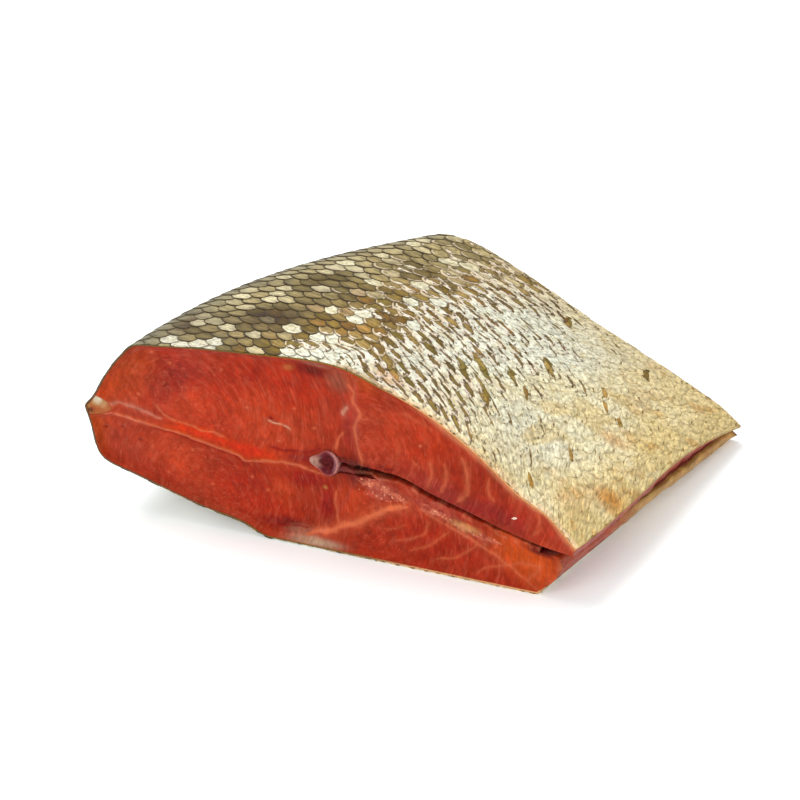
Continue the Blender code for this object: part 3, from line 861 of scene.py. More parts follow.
def scale_look():
    """Material of all scales. Its field whole is 0 where silver starts to show, and 1 on silver scales."""
    look = Look("fish_scales", Specular_IOR_Level=0.2)
    streak = look.noise(900, 3, 0.6, 0.25)
    fine = look.noise(2600, 3, 0.6, 0.4)
    crumbs = look.noise(900, 4, 0.6, 0.7)
    hatch = look.noise(1500, 2, 0.5, 0.35)
    broad = look.noise(240, 2)
    pearls = look.cells(760, 0.8)
    whole = look.field("whole")
    edge = look.field("edge")
    above = look.minus(look.field("above"), 0.10)

    # Silver over the pigment, frayed along the grain
    fray = look.times(look.minus(streak, 0.5), look.span(whole, -0.2, 0.3, 1.5, 4.0))
    fray = look.plus(fray, look.times(look.minus(fine, 0.5), 1.6))
    depth = look.plus(look.field("cover"), fray)
    cover = look.span(depth, -0.12, 0.22)
    tone = look.shaded(look.field("tone", "Color"), streak, 0.3, 0.7, 0.66, 1.29)
    tone = look.shaded(tone, fine, 0.3, 0.7, 0.80, 1.18)
    # lighter on the crumbs and darker between the pearls: painted light and shade of their bumps
    silver = look.shaded(look.field("silver", "Color"), crumbs, 0.32, 0.62, 0.76, 1.13)
    silver = look.shaded(silver, pearls, 0.25, 0.75, 1.06, 0.82)
    # broad golden patches that partly stand in for shade, with painted highlight between them
    silver = look.blend(look.span(broad, 0.5, 0.72, 0.0, 0.42), silver, GOLD_AND_SHADE)
    silver = look.shaded(silver, broad, 0.46, 0.26, 1.0, 1.10)
    silver = look.blend(look.span(hatch, 0.57, 0.70, 0.0, 0.34), silver, HATCH_GREY)
    silver = look.shaded(silver, hatch, 0.46, 0.32, 1.0, 1.18)
    colour = look.blend(cover, tone, silver)

    # Painted pinkish highlight along the fringe of the silver, dark line beside it, and cracks and dark
    # specks in it
    fringe_highlight = look.times(look.span(depth, 0.8, 0.25), cover, look.span(whole, 1.2, 0.8), 0.8)
    colour = look.blend(fringe_highlight, colour, FRINGE_HIGHLIGHT)
    beside = look.times(look.span(depth, -0.9, -0.15), look.minus(1.0, cover),
                        look.span(whole, 0.0, 0.4, 0.1, 0.8), look.span(whole, 1.5, 1.0, 0.35, 1.0))
    colour = look.blend(beside, colour, STRIP_EDGE)
    cracks = look.span(look.cells(360, 0.8, "DISTANCE_TO_EDGE", 0.0012), 0.075, 0.02)
    cracks = look.times(cracks, look.span(crumbs, 0.58, 0.46), look.span(whole, 0.7, 1.1, 0.0, 0.6), cover)
    colour = look.blend(cracks, colour, CRACK_BROWN)
    specks = look.times(look.span(look.cells(460, 0.75), 0.22, 0.12), look.span(fine, 0.40, 0.50),
                        look.span(whole, 0.1, 0.4), look.span(whole, 1.7, 1.0, 0.15, 0.75))
    colour = look.blend(specks, colour, SPECK_GREY)

    # Painted highlight on the free edge, dark outline of each scale partly painted shadow, painted shade
    # where outlines meet
    wobble = look.times(look.minus(streak, 0.5), 0.9)
    rim = look.span(look.plus(edge, look.times(wobble, 1.6)), 0.72, 0.45)
    rim = look.times(rim, look.span(whole, -0.05, 0.25), look.span(whole, 1.0, 0.5),
                     look.span(broad, 0.44, 0.56, 0.0, 0.75))
    colour = look.blend(rim, colour, EDGE_HIGHLIGHT)
    # dark outline: partly pigment, partly painted shadow beyond the overlapping free edges
    outline_and_shadow = look.span(look.plus(look.math("MINIMUM", edge, above), wobble), 0.33, 0.05)
    colour = look.blend(look.times(outline_and_shadow, look.field("outlined")), colour, OUTLINE_AND_SHADOW_BROWN)
    # painted shade in the notches where the free edges meet
    notch_shade = look.span(look.plus(look.plus(edge, above), wobble), 0.9, 0.3, 0.0, 0.75)
    colour = look.blend(look.times(notch_shade, look.span(fine, 0.40, 0.55), 0.8), colour, NOTCH_SHADE_BROWN)
    height = look.times(look.minus(crumbs, look.times(pearls, 0.8)), cover)
    height = look.plus(height, look.times(fine, 0.3))
    return look.set(Base_Color=colour, Roughness=look.span(fine, 0.3, 0.7, 0.40, 0.58),
                    Normal=look.bump(height, 0.6, 0.0004))


# ---------------------------------------------------------------- sheet of skin

def make_skin_sheet():
    """The skin under the scales, with its cut rims."""
    columns, rows = 300, 80
    y = np.linspace(0, LENGTH, rows)[:, None] * np.ones((1, columns))
    low, high = skin_edges(y[:, :1])
    s = low + (high - low) * np.linspace(0, 1, columns)[None, :]
    points, faces = slab(on_skin(s, y, SCALE_LAYER + 0.02), on_skin(s, y, SKIN_BOTTOM), rows, columns)
    tone, silver = skin_colours(s, y)
    away = np.abs(s)
    colour = mix(mix(SHEET_OLIVE, tone, 0.35), silver * 0.95, ramp(silver_front(away, y), 0.2, 0.9))
    colour = mix(colour, EDGE_TAN, ramp(away, 100, 118) * (1 - ramp(y, 1.0, 2.5)))
    rim = mix(mix(BACK_RIM, FLANK_RIM, ramp(away, 58, 84)), BELLY_RIM, ramp(away, 104, 122))
    paint = pigment(np.concatenate([colour, rim]).reshape(-1, 3), SKIN_GLOSS, SKIN_LIGHT)
    look = grained_look("skin_sheet", 1500, 3, (0.75, 1.15), 0.45, (0.3, 0.0002), Specular_IOR_Level=0.2)
    return closed_mesh("skin_sheet", points, faces, [("paint", paint)], look)


# ---------------------------------------------------------------- flesh

RED = srgb(175, 51, 32)
BRICK = srgb(166, 62, 42)
DEEP = srgb(140, 26, 18)
ORANGE_RED = srgb(196, 70, 40)
ORANGE = srgb(206, 84, 34)
GLOW = srgb(222, 60, 0)
BROWN_ORANGE = srgb(176, 74, 30)
DUSK = srgb(140, 50, 48)
MAROON = srgb(104, 24, 22)
BLACK_RED = srgb(52, 10, 12)
PALE_LINE = srgb(214, 108, 72)
PINK_FAT = srgb(208, 148, 124)
GREY_FAT = srgb(166, 128, 106)
WHITE_FAT_AND_GLINT = srgb(236, 212, 190)
YELLOW_FAT = srgb(214, 158, 88)
CRUMB = srgb(228, 134, 98)
SLIT_SHADE = srgb(66, 8, 4)
WINE = srgb(134, 44, 44)
BEIGE_FAT = srgb(190, 160, 132)
RIM_FAT = srgb(222, 142, 98)
END_BROWN = srgb(168, 98, 68)
SOFT_BROWN = srgb(130, 80, 64)
DULL_RED = srgb(152, 46, 30)
THREAD_PINK = srgb(226, 168, 136)
EDGE_LINE = srgb(228, 116, 76)
TISSUE = srgb(132, 66, 64)
SLIT_WALL_AND_SHADE = srgb(112, 22, 14)
SLIT_LIP = srgb(176, 84, 72)
UPPER_END = srgb(184, 80, 64)
LOWER_END = srgb(180, 72, 40)
LOWER_GOLD = srgb(204, 158, 86)
VEIL_PALE = srgb(206, 102, 76)
VEIL_DARK = srgb(138, 26, 14)
FIBRE_PALE = srgb(224, 122, 92)
CRUMB_GLINT = srgb(240, 164, 126)

# Broad shades of the cut: centre, radii, turn, colour, strength
SHADES = [
    ((14, 47), (10, 9), 40, BROWN_ORANGE, 0.45), ((6, 40), (4, 8), 0, ORANGE, 0.30),
    ((4, 24), (3.5, 8), 0, BROWN_ORANGE, 0.65), ((26, 43), (7, 6), 20, WINE, 0.45),
    ((32, 50), (7, 6), 0, WINE, 0.45), ((34, 38), (6.5, 6.5), 0, ORANGE_RED, 0.6),
    ((57, 39), (12, 10), 10, ORANGE_RED, 0.65), ((46, 47), (9, 6), 0, RED, 0.4),
    ((66, 50), (8, 6), 0, RED, 0.5), ((30, 20), (12, 5), -24, ORANGE_RED, 0.75),
    ((14, 22), (7, 7), 0, BRICK, 0.6), ((52, 14), (14, 7), -10, RED, 0.8),
    ((48, 20), (6, 5), 0, DEEP, 0.25), ((70, 21.5), (8, 2.6), 0, DEEP, 0.75),
    ((76, 15), (2.2, 5), -8, DEEP, 0.85), ((84, 17.5), (5.5, 5.5), 0, ORANGE_RED, 0.9),
    ((72, 57.3), (4.5, 1.8), -5, MAROON, 0.95), ((73, 59.6), (4, 0.9), -5, GREY_FAT, 0.5),
    ((80, 56), (3.6, 3.0), 0, SOFT_BROWN, 0.7), ((88, 56.5), (5, 2.2), -22, BROWN_ORANGE, 0.6),
    # the dusk strip at (82.3, 42) is painted shadow beside the step at the septum
    ((82.3, 42), (2.0, 7), 0, DUSK, 0.55), ((94, 48), (8, 6), -20, BRICK, 0.4),
    ((100, 42), (10, 8), -20, ORANGE_RED, 0.4), ((116, 33), (11, 6), -20, DULL_RED, 0.5),
    ((113, 26.5), (13, 3.8), -17, DUSK, 0.75), ((130, 21.5), (8, 3.6), -22, WINE, 0.6),
    ((83, 28), (4.5, 4.5), 0, MAROON, 0.85), ((62, 6.3), (6, 1.6), 5, MAROON, 0.75),
    ((67, 4.6), (4, 1.6), 5, GREY_FAT, 0.6), ((72, 2.2), (7, 1.3), 3, BEIGE_FAT, 0.95),
    ((90, 12), (9, 5), 15, RED, 0.5), ((104, 11), (9, 6), -20, DEEP, 0.30), ((116, 9), (9, 5), -20, RED, 0.6),
    ((137, 9), (7, 6), -35, ORANGE, 0.85), ((131, 12), (7, 3), -30, ORANGE, 0.6),
    ((117, 17.3), (4, 1.2), -15, YELLOW_FAT, 0.7), ((75, 20.3), (0.6, 0.5), 0, YELLOW_FAT, 0.5),
    ((64.5, 56.6), (1.5, 0.8), 10, YELLOW_FAT, 0.28), ((146.3, 9), (1.6, 5), 0, END_BROWN, 0.85),
    # the black-red patch at (139, 14) is painted shade in the mouth of the slit
    ((139, 14), (4, 0.9), -16, BLACK_RED, 0.8), ((52, 26.6), (7, 2.0), -3, GLOW, 0.8),
    ((37, 29.6), (12, 1.7), -8, GLOW, 0.85), ((62, 17), (5, 4), 0, ORANGE_RED, 0.7),
    ((68, 28), (4, 2), 0, DEEP, 0.6), ((108, 38), (3, 6), 0, ORANGE_RED, 0.3),
    ((130, 30), (6, 3), -35, BRICK, 0.5),
]

# Drawn lines of the cut: points, half width, colour, strength, height of the line above the cut
LINES = [
    # sheet between the two sides of the back
    ([(2.5, 31), (7, 31.3), (12, 30.6), (20, 29.9), (27, 29), (35, 27.8), (40, 27), (45, 26), (48, 25.2),
      (50, 24.2), (52.5, 24), (56, 25), (64, 26), (70, 25.3), (76, 24.7)], 0.42, PALE_LINE, 0.85, 0.25),
    # dark line under the raised sheet, partly painted shadow below its lip
    ([(20, 29.2), (35, 27), (45, 25.2), (48, 24.3), (50, 23.3), (56, 24)], 0.35, DEEP, 0.55, -0.15),
    ([(22, 37), (24, 35.5), (27, 33), (30, 32.2), (34, 32), (38, 31), (41, 31.2), (45, 30)], 0.30,
     PALE_LINE, 0.75, 0.18),
    ([(8, 34.8), (14, 34.5), (19, 33.5), (25, 32)], 0.5, PINK_FAT, 0.45, 0.05),
    ([(14, 32.4), (22, 31.4), (30, 31)], 0.5, BRICK, 0.6, 0.0),
    ([(58, 30), (65, 30), (70, 31), (74, 32.6)], 0.42, DEEP, 0.75, -0.1),
    ([(64, 28.2), (69, 28.6), (73, 29.5)], 0.6, DUSK, 0.6, 0.0),
    # bone line and small threads
    ([(57.7, 38.9), (60, 38.4), (62.5, 38), (64.5, 36.8)], 0.2, THREAD_PINK, 0.9, 0.15),
    ([(58.2, 39.8), (59.6, 39.4)], 0.45, DEEP, 0.8, -0.3),
    # edge of the sheet between back and belly meat, its pale line partly a painted highlight on the rim of
    # the step
    ([(82, 55), (84, 52.5), (83.7, 50), (85.5, 48), (86, 46), (84.3, 41.5), (84.7, 38), (85.5, 35),
      (86, 32.5), (87, 30)], 0.45, PALE_LINE, 0.75, 0.0),
    ([(85.5, 48), (86.5, 45.5), (88, 45.8)], 0.25, PALE_LINE, 0.6, 0.1),
    ([(82, 48), (81, 46.3), (80.8, 45)], 0.5, PINK_FAT, 0.7, 0.15),
    ([(81, 39.5), (79.5, 37.5), (78.5, 35), (78.2, 33.2)], 0.3, PALE_LINE, 0.75, 0.1),
    ([(78.5, 20), (78, 16), (78.7, 12.5), (79.5, 9.5)], 0.35, PALE_LINE, 0.6, 0.15),
    ([(69, 3.5), (75, 6.5), (80, 9), (85, 11.5), (90, 15), (95, 18.5), (100, 20)], 0.95, EDGE_LINE, 0.9, 0.2),
    ([(58, 5.4), (64, 5.4), (70, 6)], 0.35, DEEP, 0.7, -0.2),
    # muscle arcs of the upper belly meat
    ([(107, 36), (107, 31), (106, 28)], 0.51, PALE_LINE, 0.46, 0.04),
    ([(111, 36), (111.5, 33), (111, 30), (110, 27)], 0.58, PALE_LINE, 0.5, 0.05),
    ([(116, 39), (117.5, 35.5), (118, 32), (117.3, 28), (115, 25.3)], 0.65, PALE_LINE, 0.64, 0.07),
    ([(124, 34), (124, 30), (125.5, 27.5)], 0.51, PALE_LINE, 0.46, 0.04),
    ([(138.5, 27), (139, 22), (137, 19)], 0.51, PALE_LINE, 0.46, 0.04),
    ([(99, 50), (103, 48), (107, 46)], 0.51, PALE_LINE, 0.3, 0.0),
    ([(101.5, 35), (102.5, 34), (103.2, 34.4)], 0.43, PALE_LINE, 0.5, 0.1),
    ([(131, 35), (130.5, 32), (131.5, 28)], 0.58, PALE_LINE, 0.24, 0.0),
    ([(97, 41), (97.5, 37), (96.5, 33)], 0.58, PALE_LINE, 0.2, 0.0),
    # muscle arcs of the lower belly meat
    ([(106.5, 16.5), (105, 12.5), (101, 10), (97, 8)], 0.39, PALE_LINE, 0.4, 0.05),
    ([(112.5, 15), (110, 12), (106, 8.5), (101, 6)], 0.42, PALE_LINE, 0.44, 0.05),
    ([(121, 13), (118, 9.5), (114, 6.5), (109, 5)], 0.45, PALE_LINE, 0.52, 0.05),
    ([(130, 8), (126, 6.5), (123, 5), (121, 3)], 0.39, PALE_LINE, 0.44, 0.05),
    ([(100, 14), (96, 12), (92, 11)], 0.39, PALE_LINE, 0.26, 0.0),
    ([(105, 19.5), (110, 17.5), (115, 15.5), (121, 13), (125, 11), (130, 8), (134, 5), (139, 2)], 0.47,
     PALE_LINE, 0.61, 0.1),
    ([(130, 8), (135, 9.7), (140, 9.7)], 0.55, PALE_LINE, 0.49, 0.05),
    ([(140, 9.7), (138, 7), (136, 4.5)], 0.55, PALE_LINE, 0.35, 0.05),
    ([(144.5, 13), (144.5, 8), (142, 4), (139.5, 1.8)], 0.45, PALE_LINE, 0.52, 0.1),
    # blood line, and painted shade in the mouth of the slit
    ([(79.8, 29.2), (83, 29), (87, 29.2)], 1.1, BLACK_RED, 0.9, -0.4),
    ([(87, 29.2), (92, 28.8), (97, 28)], 0.9, BLACK_RED, 0.85, -0.5),
    ([(91, 31), (97, 31)], 0.35, MAROON, 0.6, 0.0),
    # painted glints along the blood line
    ([(82, 30.3), (86, 30)], 0.22, WHITE_FAT_AND_GLINT, 0.6, 0.1),
    ([(83, 27.8), (87, 27.6)], 0.22, WHITE_FAT_AND_GLINT, 0.5, 0.1),
    # wet crumbs along the lower lip, their pale lines partly painted highlight
    ([(86, 25.2), (89, 25), (91, 25.5), (94, 24), (97, 22.6), (100, 21.5)], 0.55, PALE_LINE, 0.7, 0.3),
    ([(87, 22), (91, 21.5), (95, 20.8)], 0.6, ORANGE_RED, 0.6, 0.2),
    ([(104, 20.3), (108, 20), (112, 19)], 0.4, PALE_LINE, 0.6, 0.3),
    ([(119, 15.7), (123, 15), (128, 14.4)], 0.4, PALE_LINE, 0.6, 0.25),
]
SPECKS = [(17.5, 39), (28, 51), (22.5, 53.5), (51.5, 41.5), (52.5, 19), (57.3, 15.8), (61, 32.5),
          (104, 40.5), (34, 24), (44, 52), (66, 44), (72, 39), (40, 14), (26, 15)]
PITS = [(6.5, 26), (17.5, 24), (2.0, 30.6), (12, 27)]
# Both with their radii, turn, colour and height above the cut
DABS = [(SPECKS, (0.55, 0.4), 30, PALE_LINE, 0.15), (PITS, (0.6, 0.45), 10, MAROON, -0.3)]

# Middles of the belly blocks and the back blocks, upper first, and the line between upper and lower
FIBRE_MIDDLES = [(84, 37), (84, 12), (33, 38), (38, 14)]
FIBRE_REACH = 20.0        # radius at which a turn round a middle has its true length
MEAT_SPLIT = ([0, 35, 50, 76, 96, 146], [31, 27.8, 24.3, 28, 29, 14])
# Faint rings of the muscle blocks: middle, how much wider than high, distance between rings
RING_CENTRES = [((34, 37), 1.0, 3.4), ((62, 44), 1.3, 4.2), ((38, 17), 1.5, 3.6), ((8, 50), 1.2, 3.8)]


def flesh_paint(colour):
    """Pigment that shows as the colour on the flesh."""
    return pigment(colour, FLESH_GLOSS, FLESH_LIGHT)


def paint_cut(x, z, detail=1.0):
    """Colour, relief and wetness of a cut, at section points in near-cut measure."""
    colour = mix(RED, BRICK, 0.5 + 0.5 * lumps(x, z, 13, 40))
    relief = 0.10 * lumps(x, z, 5.5, 41) + 0.05 * lumps(x, z, 1.9, 42)
    wet = 0.45 + 0.25 * lumps(x, z, 8, 43)
    wander = 1.6 * lumps(x, z, 9, 45), 1.6 * lumps(x, z, 9, 46)
    for centre, radii, turn, tint, strength in SHADES:
        loose = min(1.0, 0.25 * min(radii))
        share = patch(x + loose * wander[0], z + loose * wander[1], centre, np.array(radii) * 1.15, turn)
        colour = mix(colour, tint, strength * share)
    rings = ring_field(x, z)
    colour = mix(colour, PALE_LINE, 0.05 * detail * rings)
    relief += 0.03 * rings
    fibre = lumps(x + 0.5 * z, z * 0.35, 0.8, 47)
    mottle = 0.10 * lumps(x, z, 9, 56) + 0.08 * lumps(x, z, 3.7, 57)
    colour = colour * (1 + mottle + 0.12 * fibre + 0.10 * lumps(x, z, 0.9, 48))[..., None]
    wiggle = 0.35 * lumps(x, z, 2.3, 49), 0.35 * lumps(x, z, 2.3, 50)
    for points, width, tint, strength, height in LINES:
        low, high = np.min(points, axis=0) - 4, np.max(points, axis=0) + 4
        close = (x > low[0]) & (x < high[0]) & (z > low[1]) & (z < high[1])
        if not close.any():
            continue
        away, share = stroke_distance((x + wiggle[0])[close], (z + wiggle[1])[close], points)
        taper = np.minimum(1, 6 * np.minimum(share, 1 - share) + 0.35)
        uneven = 1 + 0.45 * lumps(x[close], z[close], 1.4, 51)
        core = np.exp(-(away / (width * taper * uneven)) ** 2)
        halo = np.exp(-(away / (2.6 * width)) ** 2)
        colour[close] = mix(colour[close], tint, np.clip(strength * (core + 0.22 * halo), 0, 1) * detail)
        relief[close] += height * core * detail
        wet[close] += 0.35 * core * (height > 0.15)
    for spots, radii, turn, tint, height in DABS:
        for spot in spots:
            dab = patch(x, z, spot, radii, turn)
            colour = mix(colour, tint, 0.8 * dab * detail)
            relief += height * dab * detail
    crumbs = patch(x, z, (92, 24), (7, 2.8), -20) + patch(x, z, (114, 18), (14, 2.4), -20)
    crumbs = np.clip(crumbs, 0, 1) * detail
    lumpy = lumps(x, z, 1.1, 52) + 0.6 * lumps(x, z, 0.6, 53)
    relief += 0.36 * crumbs * lumpy
    colour = mix(colour, CRUMB, np.clip(crumbs * (lumpy - 0.35), 0, 0.6))
    colour = mix(colour, DEEP, np.clip(crumbs * (-0.2 - lumpy), 0, 0.5))
    wet += 0.5 * crumbs - 0.5 * patch(x, z, (44, 28), (24, 3.5), -8)
    return flesh_paint(colour), relief, np.clip(wet, 0, 1)


def fibre_flow(x, z):
    """Distances along and across the fibres, which curl round the middle of each block of meat."""
    upper = z > np.interp(x, MEAT_SPLIT[0], MEAT_SPLIT[1])
    belly = x > FIBRE_MIDDLES[0][0]
    middles = np.array(FIBRE_MIDDLES, float)[2 * (~belly) + 1 * (~upper)]
    across, up = x - middles[..., 0], z - middles[..., 1]
    block = 5.0 * belly + 11.0 * upper
    return np.stack([FIBRE_REACH * np.arctan2(up, across), np.hypot(across, up), block], axis=-1) * MM


def ring_field(x, z):
    """Faint concentric lines of the muscle blocks, 0 to 1."""
    total = np.zeros_like(x)
    wx, wz = x + 1.5 * lumps(x, z, 10, 54), z + 1.5 * lumps(x, z, 10, 55)
    for centre, squash, pitch in RING_CENTRES:
        r = np.hypot((wx - centre[0]) / squash, wz - centre[1])
        line = np.maximum(np.cos(2 * np.pi * r / pitch), 0) ** 6
        total = np.maximum(total, line * (1 - ramp(r, 9, 15)) * ramp(r, 1.5, 4))
    return total * (1 - ramp(x, 74, 80))


def inside_polygon(points, polygon):
    """Which points lie inside the closed polygon."""
    a, b = polygon, np.roll(polygon, -1, axis=0)
    inside = np.zeros(len(points), bool)
    for (x0, z0), (x1, z1) in zip(a, b):
        if z0 == z1:
            continue
        spans = (points[:, 1] < z0) != (points[:, 1] < z1)
        cross = x0 + (points[:, 1] - z0) * (x1 - x0) / (z1 - z0)
        inside ^= spans & (points[:, 0] < cross)
    return inside


def fill(polygon, spacing, seed):
    """Points and triangles that fill a polygon, its own points first."""
    rng = np.random.default_rng(seed)
    low, high = polygon.min(axis=0), polygon.max(axis=0)
    rows = np.arange(low[1], high[1], spacing * 0.866)
    inner = [(x, z) for k, z in enumerate(rows)
             for x in np.arange(low[0] + spacing / 2 * (k % 2), high[0], spacing)]
    inner = np.array(inner)
    inner += rng.uniform(-0.18, 0.18, inner.shape) * spacing
    inner = inner[inside_polygon(inner, polygon)]
    near = np.full(len(inner), 1e9)
    for a, b in zip(polygon, np.roll(polygon, -1, axis=0)):
        close = (np.abs(inner - a) < spacing + np.abs(b - a).max()).all(axis=1)
        near[close] = np.minimum(near[close], to_stretch(*inner[close].T, a, b)[0])
    inner = inner[near > 0.45 * spacing]
    points = np.vstack([polygon, inner])
    made = delaunay_2d_cdt([Vector(p) for p in points], [], [list(range(len(polygon)))], 1, 1e-7)
    back = [origin[0] if origin else -1 for origin in made[3]]
    faces = [[back[i] for i in face] for face in made[2]]
    return points, [face for face in faces if min(face) >= 0]


OUTER_COUNT, INNER_COUNT = 440, 330           # points round the flesh and in its slit
RING_COUNT = OUTER_COUNT + INNER_COUNT
FLESH_STATIONS = 46
NEAR_SPACING, FAR_SPACING = 0.42, 0.72        # between the points of both cuts
FAR_DETAIL = 0.75                             # strength of the far cut's drawn lines


def flesh_ring(t):
    """Closed outline of the flesh, with the same number of points at every share of the length."""
    return np.vstack([resample(flesh_outline(t), OUTER_COUNT), resample(inner_outline(t)[::-1], INNER_COUNT)])


def in_near_measure(x, z, t):
    """Section points of any cut, moved to where they would lie on the near cut."""
    thickness = NEAR_THICKNESS * (1 - t) + FAR_THICKNESS * t
    return (x - back_line(t)) / (belly_line(t) - back_line(t)) * NEAR_DEPTH, z * NEAR_THICKNESS / thickness


def cut_step(x, z):
    """Extra depth of the back part of a cut, in near-cut measure."""
    bone = bone_centre(0)
    below = np.clip((bone[1] - z) / bone[1], 0, 1)
    septum = NEAR_DEPTH * (SEPTUM_SHARE - SEPTUM_SLANT * below ** 1.5) + 0.5 * lumps(x, z, 3.5, 60)
    return CUT_STEP * 0.8 / (1 + np.exp((x - septum) / 0.35))


def cut_face(ring, t):
    """Points, faces and fields of one cut, whose outline is the ring."""
    points, faces = fill(ring, *((NEAR_SPACING, 70) if t == 0 else (FAR_SPACING, 71)))
    x, z = in_near_measure(points[:, 0], points[:, 1], t)
    colour, relief, wet = paint_cut(x, z, 1.0 if t == 0 else FAR_DETAIL)
    from_skin = distance_to_line(points, ring[:OUTER_COUNT])
    margin = np.exp(-(from_skin / (0.9 + 0.5 * lumps(x, z, 5, 97))) ** 2)
    colour = mix(colour, flesh_paint(RIM_FAT), 0.75 * margin * ramp(x, 98, 110) * ramp(z, 8, 12))
    depth = np.maximum((cut_step(x, z) + 0.25 - relief) * ramp(from_skin, 0.0, 1.8), 0.0)
    points = np.column_stack([points[:, 0], depth if t == 0 else LENGTH - depth, points[:, 1]])
    return points, faces, [colour, wet, fibre_flow(x, z)]


def make_flesh(material):
    """Meat of both sides in one piece, with both cuts carved and coloured."""
    inner = np.linspace(0.045, 0.955, FLESH_STATIONS - 6)
    stations = np.concatenate([[0, 0.007, 0.02], inner, [0.98, 0.993, 1]])
    rings = [flesh_ring(t) for t in stations]
    near, near_faces, near_fields = cut_face(rings[0], 0.0)
    far, far_faces, far_fields = cut_face(rings[-1], 1.0)
    walls = []
    for ring, t in zip(rings[1:-1], stations[1:-1]):
        y = np.full(RING_COUNT, t * LENGTH)
        crinkle = 0.45 * (1 + lumps(y, ring[:, 1], 2.6, 98)) * np.sin(np.pi * t) ** 0.3
        x = ring[:, 0] - crinkle * flap_ends(np.arange(RING_COUNT))
        walls.append(np.column_stack([x, y, ring[:, 1]]))
    walls = np.vstack(walls)
    fields = zip(near_fields, [*paint_walls(walls), walls[:, [1, 0, 2]] * MM], far_fields)
    fields = list(zip(("paint", "wet", "flow"), map(np.concatenate, fields)))
    first_far = len(near) + len(walls)
    faces = near_faces + [[i + first_far for i in face] for face in far_faces]
    around = np.arange(RING_COUNT)
    after = np.roll(around, -1)
    starts = [0, *range(len(near), first_far + 1, RING_COUNT)]
    for a, b in zip(starts, starts[1:]):
        faces += np.stack([around + a, after + a, after + b, around + b], axis=-1).tolist()
    return closed_mesh("flesh_meat", np.vstack([near, walls, far]), faces, fields, material)


BLOOD_LOW, BLOOD_HIGH = 78.7, 139.0           # x where the tissue starts and ends
BLOOD_THICKNESS = 3.0


def make_blood_line(material):
    """Dark tissue that closes the slit beside the backbone at the near cut, and painted shade in the slit."""
    columns, rows = 170, 26
    mouth = bone_line(0.0, np.array([CORD_OPENING, -CORD_OPENING]))
    top = np.vstack([mouth[:1], curve(SLIT_TOP_NEAR, SLIT_TOP_FAR, 0.0)])
    low = np.vstack([mouth[1:], curve(SLIT_LOW_NEAR, SLIT_LOW_FAR, 0.0)])
    x = np.linspace(BLOOD_LOW, BLOOD_HIGH, columns)[None, :] + np.zeros((rows, 1))
    share = np.linspace(-0.45, 1.04, rows)[:, None]
    z_low, z_high = np.interp(x, low[:, 0], low[:, 1]), np.interp(x, top[:, 0], top[:, 1])
    z = z_low + (z_high - z_low) * share
    beyond = ramp(x, 85, 92)
    groove = np.exp(-((share - 0.5 - 0.12 * lumps(x, z, 2.6, 85)) / 0.12) ** 2) * (1 - beyond)
    top_of_lip = 0.42 + 0.30 * ramp(x, 100, 132)
    lip = beyond * (1 - ramp(share + 0.12 * lumps(x, z, 2.2, 88), top_of_lip - 0.14, top_of_lip + 0.08))
    crumbs = 0.35 * lumps(x, z, 1.5, 86) + 0.2 * lumps(x, z, 0.8, 89)
    sunk = 0.25 * ramp(-share, 0.2, 0.45)
    y = np.where(beyond > 0.5, 0.08 + 0.25 * np.abs(crumbs) + sunk + 3.9 * (1 - lip),
                 1.1 + 0.5 * crumbs + 1.6 * groove + 1.2 * beyond + 3.0 * ramp(-share, 0.0, 0.08))
    colour = mix(TISSUE, MAROON, 0.5 + 0.5 * lumps(x, z, 1.8, 87))
    # towards the slit the colour goes to black-red and darker still: painted shade in the mouth of the slit
    colour = mix(colour, BLACK_RED, np.clip(0.95 * groove + ramp(x, 82, 87), 0, 1))
    colour = flesh_paint(mix(colour, SLIT_SHADE, beyond * ramp(x, 90, 100)))
    meat, _, meat_wet = paint_cut(x, np.minimum(z, z_low - 0.3))
    bright = mix(meat, flesh_paint(CRUMB), np.clip(0.9 * (crumbs + 0.1), 0, 0.7))
    colour = mix(colour, mix(meat, bright, ramp(share, -0.2, 0.2)), lip)
    wet = np.clip(0.7 + (meat_wet - 0.6) * lip, 0, 1)
    front = np.stack([x, y, z], axis=-1)
    points, faces = slab(front, front + np.array([0, BLOOD_THICKNESS, 0]), rows, columns)
    fields = [("paint", np.tile(colour.reshape(-1, 3), (2, 1))), ("wet", np.tile(wet.ravel(), 2)),
              ("flow", fibre_flow(points[:, 0], points[:, 2]))]
    return closed_mesh("blood_line", points, faces, fields, material)


# Loose flakes of fat on the near cut: middle, half length, half width, turn, height
FLAKES = [((131.5, 23.3), 1.7, 0.6, 15, 0.5), ((136.6, 18.3), 0.7, 0.4, 20, 0.4),
          ((88.5, 22.8), 0.6, 0.35, 40, 0.4), ((107.2, 20.2), 0.9, 0.4, -20, 0.4),
          ((112, 19), 0.6, 0.35, 10, 0.4), ((125, 15.2), 0.8, 0.4, -10, 0.4)]
# Rows of crumbs on the lower lip of the slit: start, end, how far the crumbs stray, how many
CRUMB_ROWS = [((87, 25.6), (100, 21.4), 1.3, 22), ((86, 22.5), (92, 21.5), 0.9, 8),
              ((105, 20.4), (114, 18.4), 0.8, 12), ((119, 16.3), (129, 14.2), 0.6, 10)]


def crumb_flakes():
    """Small flakes strewn along the rows of crumbs."""
    rng = np.random.default_rng(64)
    made = []
    for start, end, stray, count in CRUMB_ROWS:
        for _ in range(count):
            middle = np.array(start) + (np.array(end) - start) * rng.uniform() + rng.normal(0, 0.5, 2) * stray
            length = rng.uniform(0.22, 0.55)
            made.append((tuple(middle), length, length * rng.uniform(0.45, 0.9), rng.uniform(-60, 60), 0.6))
    return made


